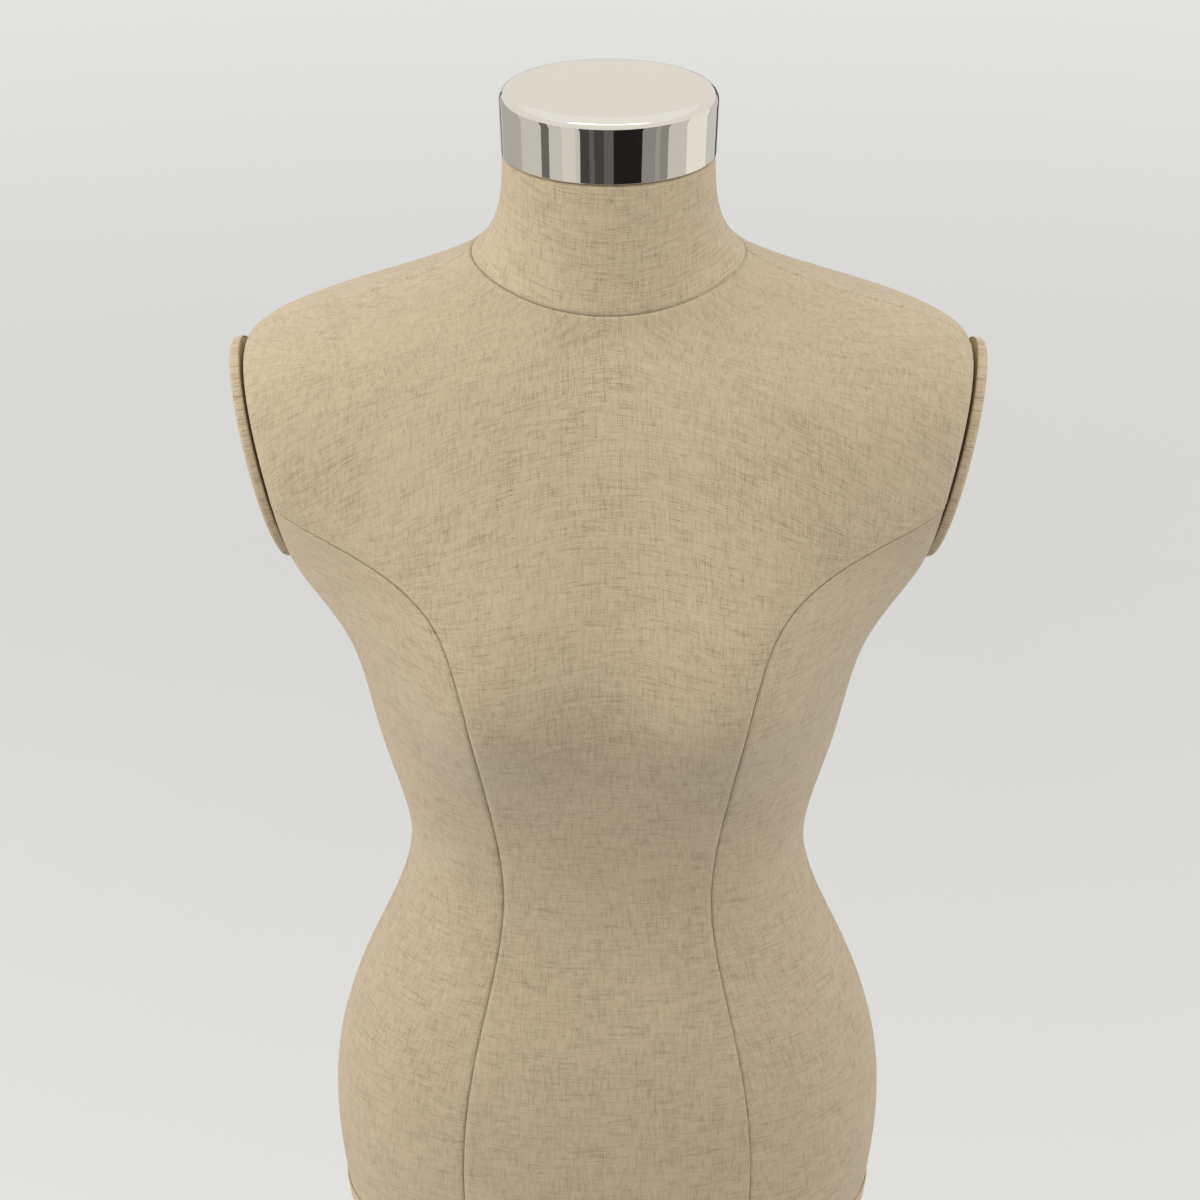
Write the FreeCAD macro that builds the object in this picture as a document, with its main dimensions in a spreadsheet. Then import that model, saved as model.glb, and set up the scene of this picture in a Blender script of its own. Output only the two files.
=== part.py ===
import FreeCAD, Part
import math
import os

import Sketcher
from FreeCAD import Placement, Rotation, Vector

# A shop dress form: a hollow moulded torso in a sewn linen cover, with a chromed neck
# cap that lifts off. It turns on a chromed pole, which slides in the tube of a round
# steel base. Millimetres, +Z up, the form faces -Y, and the floor is Z = 0 under the pole.
# "left" and "right" are the form's own: its left side is +X.

SIZES = [
    # base
    ("base_radius", 175, "base plate, radius"),
    ("base_thickness", 8, "base plate, thickness"),
    ("base_edge", 2.5, "base plate, rounding of the upper rim"),
    ("foot_radius", 15, "rubber foot, radius"),
    ("foot_height", 4, "rubber foot, thickness"),
    ("foot_recess", 1, "how deep each foot sits in the plate"),
    ("foot_circle", 145, "feet, distance from the pole"),
    ("bolt_radius", 5, "base bolt, shank radius"),
    ("bolt_head_radius", 10, "base bolt, countersunk head radius"),
    ("bolt_head_height", 5.5, "base bolt, head height"),
    ("bolt_length", 40, "base bolt, whole length"),
    ("flange_radius", 46, "base flange, outer radius"),
    ("flange_rim", 3, "base flange, height of its rim"),
    ("flange_height", 30, "base flange, whole height"),
    ("flange_neck", 3.5, "base flange, wall at the top"),
    ("flange_sweep", 24, "base flange, radius of its hollow sweep"),
    # pole
    ("tube_radius", 16, "lower tube, outer radius"),
    ("tube_wall", 1.5, "both tubes, wall"),
    ("tube_top", 560, "lower tube, height of its top"),
    ("plug_height", 42, "foot plug, height"),
    ("pole_radius", 12.5, "sliding pole, outer radius"),
    ("pole_foot", 330, "sliding pole, height of its lower end"),
    ("pole_top", 1040, "sliding pole, height of its upper end"),
    ("guide_height", 20, "guide ring, height"),
    ("spigot_length", 20, "plastic spigots in the pole's ends"),
    ("bush_length", 60, "pole bush, length in the tube"),
    ("bush_lip", 3, "pole bush, thickness of its lip"),
    ("collar_radius", 21.5, "clamp collar, outer radius"),
    ("collar_height", 36, "clamp collar, height"),
    ("collar_edge", 1.5, "clamp collar, rounding"),
    ("boss_radius", 8, "clamp collar, radius of its screw boss"),
    ("boss_reach", 28, "clamp collar, reach of its boss from the pole's axis"),
    ("running_gap", 0.08, "radial clearance of everything that slides or turns"),
    ("seat_gap", 0.05, "gap between pieces fixed together"),
    # thumb screws
    ("screw_radius", 4, "thumb screw, radius"),
    ("screw_tip_gap", 0.1, "thumb screw tip to pole, as clamped"),
    ("knob_radius", 12, "thumb screw head, radius"),
    ("knob_length", 14, "thumb screw head, length"),
    ("knob_edge", 1.2, "thumb screw head, chamfer"),
    ("knob_gap", 2, "thumb screw head to boss"),
    ("knob_flute", 1.1, "grip flute, radius"),
    # torso fittings
    ("hem_height", 800, "lower edge of the torso above the floor"),
    ("board_thickness", 12, "bottom board, thickness"),
    ("socket_radius", 15, "socket tube, outer radius"),
    ("socket_plug", 16, "socket end plug, height"),
    ("pivot_height", 6, "pole cap above the pole"),
    ("pivot_gap", 0.1, "pole cap to socket plug"),
    ("plate_radius", 45, "socket flange, plate radius"),
    ("plate_thickness", 4, "socket flange, plate thickness"),
    ("hub_radius", 22, "socket flange, hub radius"),
    ("hub_height", 35, "socket flange, hub and plate height"),
    ("fixing_circle", 34, "flange screws, distance from the axis"),
    ("fixing_radius", 2.2, "wood screw, radius"),
    ("fixing_head", 4.2, "wood screw, head radius"),
    ("fixing_head_height", 2.6, "wood screw, head height"),
    # neck
    ("neck_turning", 1.4, "room above the neck block for the linen turned in over it"),
    ("neck_block_height", 24, "wooden neck block, height"),
    ("neck_block_radius", 50, "wooden neck block, radius"),
    ("pin_radius", 6, "cap pin, radius"),
    ("pin_length", 40, "cap pin, length"),
    ("pin_in_cap", 14, "cap pin, length held in the cap"),
    ("neck_bush_radius", 10, "neck bush, outer radius"),
    ("cap_radius", 56.1, "neck cap, radius at the top"),
    ("cap_foot_radius", 55.1, "neck cap, radius at its lower edge"),
    ("cap_height", 33, "neck cap, height"),
    ("cap_wall", 1.2, "neck cap, wall"),
    ("cap_edge", 6, "neck cap, rounding of the top rim"),
    # arm plates
    ("arm_x", 182, "arm plane, distance from the middle at the plate's centre"),
    ("arm_y", 4, "arm plate, centre towards the back"),
    ("arm_z", 500, "arm plate, centre above the hem"),
    ("arm_lean", 0.2, "arm plane, outward lean per millimetre of height"),
    ("arm_round", 7, "softness of the body's edge at the arm plane"),
    ("arm_low", 432, "height above the hem where the arm plane ends"),
    ("arm_flare", 1.2, "how fast it gives way to the body below that"),
    ("arm_half_width", 43, "arm plate, half width"),
    ("arm_half_height", 62, "arm plate, half height"),
    ("arm_thickness", 5, "arm plate, board thickness"),
    # cover and shell
    ("linen", 0.8, "linen, thickness"),
    ("cover_gap", 0.5, "glue layer between linen and shell"),
    ("shell", 3, "moulded shell, thickness"),
    ("seam_gap", 0.6, "gap between sewn panels"),
    ("neck_top_gap", 0.4, "top of the neck to the neck cap"),
    ("tape_height", 12, "hem tape, height"),
    # bust and shoulder blades, heights above the hem
    ("bust_x", 78, "bust point, from the middle"),
    ("bust_z", 402, "bust point"),
    ("bust_rise", 38, "bust, how far it stands out"),
    ("bust_spread", 62, "bust, spread sideways"),
    ("bust_above", 82, "bust, spread above its point"),
    ("bust_below", 52, "bust, spread below its point"),
    ("blade_x", 72, "shoulder blade, from the middle"),
    ("blade_z", 480, "shoulder blade"),
    ("blade_rise", 9, "shoulder blade, how far it stands out"),
    ("blade_spread", 55, "shoulder blade, spread"),
    ("seat_x", 66, "seat, from the middle"),
    ("seat_z", 75, "seat"),
    ("seat_rise", 10, "seat, how far it stands out"),
    ("seat_spread", 62, "seat, spread"),
    # where the sewn seams run
    ("seam_angle", 60, "princess seam, degrees round from the side"),
    ("seam_leaves", 432, "length up the body where the princess seam turns to the arm"),
    ("seam_ends", 528, "length up the body where it has reached the arm"),
    ("seam_softness", 5, "degrees over which it runs out into the shoulder seam"),
    ("seam_hidden", 14, "degrees from the side where the arm plate covers it"),
]

# The body's rings from hem to neck. For each: height above the hem at the side, at the
# front and at the back, half width, depth to the front, depth to the back, squareness.
RINGS = [
    ("hem", (0, 0, 0, 160, 98, 112, 2.15)),
    ("hip", (85, 85, 85, 165, 104, 114, 2.15)),
    ("high_hip", (168, 168, 168, 145, 99, 96, 2.15)),
    ("waist", (255, 255, 255, 114, 84, 72, 2.2)),
    ("underbust", (335, 338, 335, 129, 98, 88, 2.2)),
    ("bust", (405, 410, 410, 147, 104, 97, 2.2)),
    ("armpit", (448, 472, 465, 180, 99, 98, 2.25)),
    ("mid_arm", (508, 520, 518, 206, 90, 96, 2.3)),
    ("shoulder_tip", (560, 552, 562, 197, 80, 86, 2.25)),
    ("mid_shoulder", (588, 577, 594, 134, 69, 72, 2.1)),
    ("neck_base", (614, 600, 620, 72, 60, 59, 2.0)),
    ("neck", (638, 633, 641, 57.2, 56.6, 56.8, 2.0)),
    ("neck_top", (666.6, 666.6, 666.6, 54.7, 54.7, 54.7, 2.0)),
]
RING_COLUMNS = ("side_z", "front_z", "back_z", "half", "front", "back", "square")

SHELL_COLUMNS, PANEL_COLUMNS, NECK_COLUMNS = 41, 21, 65
ROW_STEP, SEAM_STEP = 9, 4.5
EDGE_STEP = 1e-3
SEW_TOLERANCE = 0.02

doc = FreeCAD.newDocument("DressForm")
sheet = doc.addObject("Spreadsheet::Sheet", "Sizes")
subparts = []


def fill_sheet():
    """Writes every driving size and every ring of the body into the sheet."""
    rows = list(SIZES)
    for ring, values in RINGS:
        for column, value in zip(RING_COLUMNS, values):
            rows.append((ring + "_" + column, value, "body ring"))
    for row, (alias, value, note) in enumerate(rows, start=1):
        sheet.set("A%d" % row, alias)
        sheet.set("B%d" % row, str(value))
        sheet.set("C%d" % row, note)
        sheet.setAlias("B%d" % row, alias)
    doc.recompute()


def size(alias):
    """The number held in a cell of the sheet."""
    return float(sheet.get(alias))


def bound(words):
    """An expression in sheet aliases, such as "tube_radius - tube_wall", as FreeCAD wants it."""
    out = []
    for word in words.split():
        bare = word.strip("()")
        named = bare in NAMES
        out.append(word.replace(bare, "Sizes." + bare) if named else word)
    return " ".join(out)


NAMES = {alias for alias, _, _ in SIZES}
NAMES |= {ring + "_" + column for ring, _ in RINGS for column in RING_COLUMNS}


def bind(thing, prop, words):
    """Binds a property to an expression in sheet aliases."""
    thing.setExpression(prop, bound(words))


def number(thing, words):
    """The value that such an expression has now."""
    value = thing.evalExpression(bound(words))
    return float(getattr(value, "Value", value))


def keep(thing, label):
    """Names a finished sub-part. Its label is its file's name."""
    thing.Label = label
    subparts.append(thing)
    return thing


# ---------------------------------------------------------------- plain solids


def drum(name, radius, low, high):
    """An upright cylinder from height low to height high."""
    solid = doc.addObject("Part::Cylinder", name)
    bind(solid, "Radius", radius)
    bind(solid, "Height", "(" + high + ") - (" + low + ")")
    bind(solid, "Placement.Base.z", low)
    return solid


def cross_drum(name, radius, reach, height, start="0"):
    """A cylinder that lies along +Y at a height, from start to reach from the pole's axis."""
    solid = doc.addObject("Part::Cylinder", name)
    bind(solid, "Radius", radius)
    bind(solid, "Height", "(" + reach + ") - (" + start + ")")
    solid.Placement = Placement(Vector(), Rotation(Vector(1, 0, 0), -90))
    bind(solid, "Placement.Base.y", start)
    bind(solid, "Placement.Base.z", height)
    return solid


def cut(name, base, *tools):
    """base with each tool taken out of it in turn."""
    for count, tool in enumerate(tools):
        made = doc.addObject("Part::Cut", name + "_cut%d" % count)
        made.Base, made.Tool = base, tool
        base = made
    return base


def tube(name, outer, inner, low, high, *tools):
    """An upright tube, less the tools."""
    return cut(name, drum(name + "_outer", outer, low, high), drum(name + "_bore", inner, low, high), *tools)


def group(name, solids):
    """Several separate solids as one sub-part."""
    made = doc.addObject("Part::Compound", name)
    made.Links = solids
    return made


def ring_places(circle, count):
    """Expressions for count places spaced evenly on a circle, the first at 45 degrees."""
    for k in range(count):
        angle = "%g deg" % (45 + 360 * k / count)
        yield circle + " * cos(" + angle + ")", circle + " * sin(" + angle + ")"


# ---------------------------------------------------------------- PartDesign bodies


def new_body(name):
    return doc.addObject("PartDesign::Body", name)


def origin_feature(body, role):
    return next(f for f in body.Origin.OriginFeatures if f.Role == role)


def new_sketch(body, name, plane):
    sketch = body.newObject("Sketcher::SketchObject", name)
    sketch.AttachmentSupport = [(origin_feature(body, plane), "")]
    sketch.MapMode = "FlatFace"
    return sketch


def hold(sketch, index, point, direction, words, value):
    """Fixes one coordinate of a point of the sketch by a named, bound dimension, or onto the axis."""
    if abs(value) < 1e-9:
        axis = -2 if direction == "DistanceX" else -1
        sketch.addConstraint(Sketcher.Constraint("PointOnObject", index, point, axis))
        return
    row = sketch.addConstraint(Sketcher.Constraint(direction, -1, 1, index, point, value))
    name = "%s%d" % (direction[-1], row)
    sketch.renameConstraint(row, name)
    sketch.setExpression("Constraints." + name, bound(words))


def outline(body, name, plane, corners):
    """A closed outline of straight lines through corners, each a pair of expressions."""
    sketch = new_sketch(body, name, plane)
    places = [Vector(number(sketch, u), number(sketch, w), 0) for u, w in corners]
    count = len(places)
    for k in range(count):
        sketch.addGeometry(Part.LineSegment(places[k], places[(k + 1) % count]))
    for k in range(count):
        sketch.addConstraint(Sketcher.Constraint("Coincident", k, 2, (k + 1) % count, 1))
    for k, (u, w) in enumerate(corners):
        hold(sketch, k, 1, "DistanceX", u, places[k].x)
        hold(sketch, k, 1, "DistanceY", w, places[k].y)
    return sketch


def circle_sketch(body, name, plane, u, w, radius):
    """One circle at a place, with its radius bound."""
    sketch = new_sketch(body, name, plane)
    centre = Vector(number(sketch, u), number(sketch, w), 0)
    sketch.addGeometry(Part.Circle(centre, Vector(0, 0, 1), number(sketch, radius)))
    hold(sketch, 0, 3, "DistanceX", u, centre.x)
    hold(sketch, 0, 3, "DistanceY", w, centre.y)
    row = sketch.addConstraint(Sketcher.Constraint("Radius", 0, number(sketch, radius)))
    sketch.renameConstraint(row, "Radius%d" % row)
    sketch.setExpression("Constraints.Radius%d" % row, bound(radius))
    return sketch


def turned(name, corners):
    """A body turned about Z from an outline of radius and height pairs."""
    body = new_body(name)
    sketch = outline(body, name + "_profile", "XZ_Plane", corners)
    turn = body.newObject("PartDesign::Revolution", name + "_turn")
    turn.Profile = sketch
    turn.ReferenceAxis = (sketch, ["V_Axis"])
    turn.Angle = 360
    doc.recompute()
    return body


def rims(feature, radius, height):
    """The names of a feature's round edges of a radius at a height."""
    found = []
    for k, edge in enumerate(feature.Shape.Edges, start=1):
        curve = edge.Curve
        if not isinstance(curve, Part.Circle):
            continue
        if abs(curve.Radius - radius) < 0.01 and abs(edge.CenterOfMass.z - height) < 0.01:
            found.append("Edge%d" % k)
    return found


def softened(body, kind, prop, words, radius, height):
    """Rounds ("Fillet", "Radius") or chamfers ("Chamfer", "Size") one rim of a turned body."""
    base = body.Tip
    feature = body.newObject("PartDesign::" + kind, body.Name + "_" + kind)
    feature.Base = (base, rims(base, radius, height))
    bind(feature, prop, words)
    doc.recompute()
    return body


def pocket(body, sketch, depth, reverse=False):
    """Cuts a sketch into a body to a bound depth, and stops if nothing was cut."""
    before = body.Shape.Volume
    feature = body.newObject("PartDesign::Pocket", sketch.Name + "_pocket")
    feature.Profile = sketch
    feature.Reversed = reverse
    bind(feature, "Length", depth)
    doc.recompute()
    if body.Shape.Volume > before - 1e-3:
        raise RuntimeError(sketch.Name + " cuts nothing")
    return feature


def patterned(body, feature, count):
    """Repeats a feature evenly about Z."""
    pattern = body.newObject("PartDesign::PolarPattern", feature.Name + "_round")
    pattern.Originals = [feature]
    pattern.Axis = (origin_feature(body, "Z_Axis"), [""])
    pattern.Angle = 360
    pattern.Occurrences = count
    body.Tip = pattern
    doc.recompute()
    return pattern


# ---------------------------------------------------------------- the base


def build_base():
    """Steel disc on four rubber feet, with a countersunk bolt that holds the lower tube."""
    bottom = "foot_height - foot_recess"
    top = bottom + " + base_thickness"

    plate = turned("BasePlate", [
        ("bolt_radius + 2 * seat_gap", bottom + " + bolt_head_height"),
        ("bolt_head_radius + 3 * seat_gap", bottom),
        ("base_radius", bottom),
        ("base_radius", top),
        ("bolt_radius + 2 * seat_gap", top),
    ])
    softened(plate, "Fillet", "Radius", "base_edge", size("base_radius"), number(sheet, top))
    recess = circle_sketch(
        plate, "FootRecess", "XY_Plane",
        "foot_circle * cos(45 deg)", "foot_circle * sin(45 deg)", "foot_radius + seat_gap")
    patterned(plate, pocket(plate, recess, "foot_height", reverse=True), 4)
    keep(plate, "base_plate")

    feet = []
    for k, (x, y) in enumerate(ring_places("foot_circle", 4)):
        foot = drum("Foot%d" % k, "foot_radius", "0", "foot_height - seat_gap")
        bind(foot, "Placement.Base.x", x)
        bind(foot, "Placement.Base.y", y)
        feet.append(foot)
    keep(group("Feet", feet), "base_feet")

    bolt = turned("Bolt", [
        ("0", bottom),
        ("bolt_head_radius", bottom),
        ("bolt_radius", bottom + " + bolt_head_height"),
        ("bolt_radius", bottom + " + bolt_length"),
        ("0", bottom + " + bolt_length"),
    ])
    keep(bolt, "base_bolt")

    plug = tube("Plug", "tube_radius - tube_wall - seat_gap", "bolt_radius + seat_gap", top,
                top + " + plug_height")
    keep(plug, "foot_plug")

    inner = "tube_radius + seat_gap"
    flange = turned("Flange", [
        (inner, top),
        ("flange_radius", top),
        ("flange_radius", top + " + flange_rim"),
        ("tube_radius + flange_neck", top + " + flange_rim"),
        ("tube_radius + flange_neck", top + " + flange_height"),
        (inner, top + " + flange_height"),
    ])
    rim_height = number(sheet, top + " + flange_rim")
    neck_radius = number(sheet, "tube_radius + flange_neck")
    softened(flange, "Fillet", "Radius", "flange_sweep", neck_radius, rim_height)
    softened(flange, "Fillet", "Radius", "flange_rim / 2", size("flange_radius"), rim_height)
    keep(flange, "base_flange")


# ---------------------------------------------------------------- the pole


def build_pole():
    """Lower tube with bush and clamp collar, and the pole that slides in it."""
    floor = "foot_height - foot_recess + base_thickness"
    screw_height = "tube_top - collar_height / 2 + bush_lip"
    hole = "screw_radius + running_gap"

    lower = tube("LowerTube", "tube_radius", "tube_radius - tube_wall", floor, "tube_top",
                 cross_drum("LowerHole", hole, "boss_reach", screw_height))
    keep(lower, "lower_pole")

    bush = turned("Bush", [
        ("pole_radius + running_gap", "tube_top - bush_length"),
        ("tube_radius - tube_wall - seat_gap", "tube_top - bush_length"),
        ("tube_radius - tube_wall - seat_gap", "tube_top + seat_gap"),
        ("tube_radius", "tube_top + seat_gap"),
        ("tube_radius", "tube_top + bush_lip"),
        ("pole_radius + running_gap", "tube_top + bush_lip"),
    ])
    keep(cut("BushHole", bush, cross_drum("BushDrill", hole, "boss_reach", screw_height)), "pole_bush")

    bottom = "tube_top + bush_lip - collar_height"
    collar = turned("Collar", [
        ("tube_radius + seat_gap", bottom),
        ("collar_radius", bottom),
        ("collar_radius", "tube_top + bush_lip"),
        ("tube_radius + seat_gap", "tube_top + bush_lip"),
    ])
    for end in (bottom, "tube_top + bush_lip"):
        softened(collar, "Fillet", "Radius", "collar_edge", size("collar_radius"), number(sheet, end))
    boss = cross_drum("Boss", "boss_radius", "boss_reach", screw_height, start="tube_radius + 2 * tube_wall")
    joined = doc.addObject("Part::Fuse", "CollarAndBoss")
    joined.Base, joined.Tool = collar, boss
    keep(cut("CollarHole", joined, cross_drum("CollarDrill", hole, "boss_reach", screw_height)),
         "clamp_collar")

    keep(tube("Pole", "pole_radius", "pole_radius - tube_wall", "pole_foot", "pole_top"), "upper_pole")

    spigot = "pole_radius - tube_wall - seat_gap"
    guide = turned("Guide", [
        ("0", "pole_foot - guide_height"),
        ("tube_radius - tube_wall - running_gap", "pole_foot - guide_height"),
        ("tube_radius - tube_wall - running_gap", "pole_foot - seat_gap"),
        (spigot, "pole_foot - seat_gap"),
        (spigot, "pole_foot + spigot_length"),
        ("0", "pole_foot + spigot_length"),
    ])
    keep(guide, "pole_guide")

    pivot = turned("Pivot", [
        ("0", "pole_top - spigot_length"),
        (spigot, "pole_top - spigot_length"),
        (spigot, "pole_top + seat_gap"),
        ("pole_radius", "pole_top + seat_gap"),
        ("pole_radius", "pole_top + pivot_height / 2"),
        ("pole_radius / 2", "pole_top + pivot_height"),
        ("0", "pole_top + pivot_height"),
    ])
    keep(pivot, "pole_cap")


def build_thumb_screw(prefix, height, boss):
    """A screw that points at the pole along Y, and its fluted head outside the boss."""
    shank = turned(prefix + "Shank", [
        ("0", "pole_radius + screw_tip_gap"),
        ("screw_radius - 1", "pole_radius + screw_tip_gap"),
        ("screw_radius", "pole_radius + screw_tip_gap + 1"),
        ("screw_radius", boss + " + knob_gap + knob_length - 3"),
        ("0", boss + " + knob_gap + knob_length - 3"),
    ])
    head_start = boss + " + knob_gap"
    head_end = head_start + " + knob_length"
    head = turned(prefix + "Head", [
        ("screw_radius + seat_gap", head_start),
        ("knob_radius", head_start),
        ("knob_radius", head_end),
        ("0", head_end),
        ("0", head_end + " - 3 + seat_gap"),
        ("screw_radius + seat_gap", head_end + " - 3 + seat_gap"),
    ])
    for end in (head_start, head_end):
        softened(head, "Chamfer", "Size", "knob_edge", size("knob_radius"), number(sheet, end))
    flute = circle_sketch(head, prefix + "Flute", "XY_Plane", "knob_radius", "0", "knob_flute")
    patterned(head, pocket(head, flute, head_end, reverse=True), 20)
    for piece in (shank, head):
        piece.Placement = Placement(Vector(0, 0, 0), Rotation(Vector(1, 0, 0), -90))
        bind(piece, "Placement.Base.z", height)
    return shank, head


# ---------------------------------------------------------------- torso fittings


def build_fittings():
    """What holds the torso on the pole, and the block and pin that carry the neck cap."""
    hole = "screw_radius + running_gap"
    low = "hem_height - hub_height"
    screw_height = low + " + 14"
    top = "pole_top + pivot_height + pivot_gap"

    socket = tube("Socket", "socket_radius", "pole_radius + running_gap", low, top + " + socket_plug",
                  cross_drum("SocketHole", hole, "hub_radius", screw_height))
    keep(socket, "socket_tube")
    keep(drum("SocketPlug", "pole_radius + running_gap - seat_gap", top, top + " + socket_plug"),
         "socket_plug")

    inner = "socket_radius + seat_gap"
    hub = turned("Hub", [
        (inner, low),
        ("hub_radius", low),
        ("hub_radius", "hem_height - plate_thickness"),
        ("plate_radius", "hem_height - plate_thickness"),
        ("plate_radius", "hem_height - seat_gap"),
        (inner, "hem_height - seat_gap"),
    ])
    softened(hub, "Fillet", "Radius", "collar_edge", size("hub_radius"), number(sheet, low))
    drill = circle_sketch(hub, "FlangeHole", "XY_Plane", "fixing_circle * cos(45 deg)",
                          "fixing_circle * sin(45 deg)", "fixing_radius + seat_gap")
    patterned(hub, pocket(hub, drill, "hem_height", reverse=True), 4)
    keep(cut("HubHole", hub, cross_drum("HubDrill", hole, "plate_radius", screw_height)),
         "socket_flange")

    screws = []
    for k, (x, y) in enumerate(ring_places("fixing_circle", 4)):
        under = "hem_height - plate_thickness - seat_gap"
        screw = turned("Fixing%d" % k, [
            ("0", under + " - fixing_head_height"),
            ("fixing_head / 2", under + " - fixing_head_height"),
            ("fixing_head", under + " - fixing_head_height / 2"),
            ("fixing_head", under),
            ("fixing_radius", under),
            ("fixing_radius", "hem_height + board_thickness - 3"),
            ("0", "hem_height + board_thickness - 1"),
        ])
        bind(screw, "Placement.Base.x", x)
        bind(screw, "Placement.Base.y", y)
        screws.append(screw)
    keep(group("Fixings", screws), "flange_screws")

    neck_top = "hem_height + neck_top_side_z - neck_turning"
    block = tube("NeckBlock", "neck_block_radius", "neck_bush_radius",
                 neck_top + " - neck_block_height", neck_top)
    keep(block, "neck_block")
    bush = tube("NeckBush", "neck_bush_radius - seat_gap", "pin_radius + running_gap",
                neck_top + " - neck_block_height", neck_top)
    keep(bush, "neck_bush")


def build_neck_cap():
    """Chromed cap pressed over a turned core, with the pin that drops into the neck."""
    foot = "hem_height + neck_top_side_z + neck_top_gap"
    top = foot + " + cap_height"
    cap = turned("Cap", [
        ("cap_foot_radius - cap_wall", foot),
        ("cap_foot_radius", foot),
        ("cap_radius", top),
        ("0", top),
        ("0", top + " - cap_wall"),
        ("cap_radius - cap_wall", top + " - cap_wall"),
    ])
    softened(cap, "Fillet", "Radius", "cap_edge", size("cap_radius"), number(sheet, top))
    softened(cap, "Fillet", "Radius", "cap_edge - cap_wall", number(sheet, "cap_radius - cap_wall"),
             number(sheet, top + " - cap_wall"))
    keep(cap, "neck_cap_shell")

    core = turned("Core", [
        ("pin_radius + seat_gap", foot),
        ("cap_foot_radius - cap_wall - 2 * seat_gap", foot),
        ("cap_radius - cap_wall - 5 * seat_gap", top + " - cap_wall - cap_edge"),
        ("cap_radius - cap_wall - cap_edge", top + " - cap_wall - 2 * seat_gap"),
        ("0", top + " - cap_wall - 2 * seat_gap"),
        ("0", foot + " + pin_in_cap + seat_gap"),
        ("pin_radius + seat_gap", foot + " + pin_in_cap + seat_gap"),
    ])
    keep(core, "neck_cap_core")

    pin = turned("Pin", [
        ("0", foot + " + pin_in_cap - pin_length"),
        ("pin_radius - 2", foot + " + pin_in_cap - pin_length"),
        ("pin_radius", foot + " + pin_in_cap - pin_length + 3"),
        ("pin_radius", foot + " + pin_in_cap"),
        ("0", foot + " + pin_in_cap"),
    ])
    keep(pin, "neck_cap_pin")


# ---------------------------------------------------------------- the body's shape


def natural_spline(knots, values):
    """The natural cubic through the values at the knots, as a function."""
    last = len(knots) - 1
    gaps = [knots[k + 1] - knots[k] for k in range(last)]
    slope = [(values[k + 1] - values[k]) / gaps[k] for k in range(last)]
    diagonal, right, bends = [1.0], [0.0], [0.0] * (last + 1)
    for k in range(1, last):
        upper = gaps[k - 1] / diagonal[k - 1] if k > 1 else 0.0
        diagonal.append(2 * (gaps[k - 1] + gaps[k]) - upper * gaps[k - 1] * (k > 1))
        right.append(6 * (slope[k] - slope[k - 1]) - upper * right[k - 1])
    for k in range(last - 1, 0, -1):
        bends[k] = (right[k] - gaps[k] * bends[k + 1]) / diagonal[k]

    def at(v):
        k = max(j for j in range(last) if knots[j] <= v or j == 0)
        a, b = (knots[k + 1] - v) / gaps[k], (v - knots[k]) / gaps[k]
        bend = (a ** 3 - a) * bends[k] + (b ** 3 - b) * bends[k + 1]
        return a * values[k] + b * values[k + 1] + bend * gaps[k] ** 2 / 6

    return at


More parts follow.
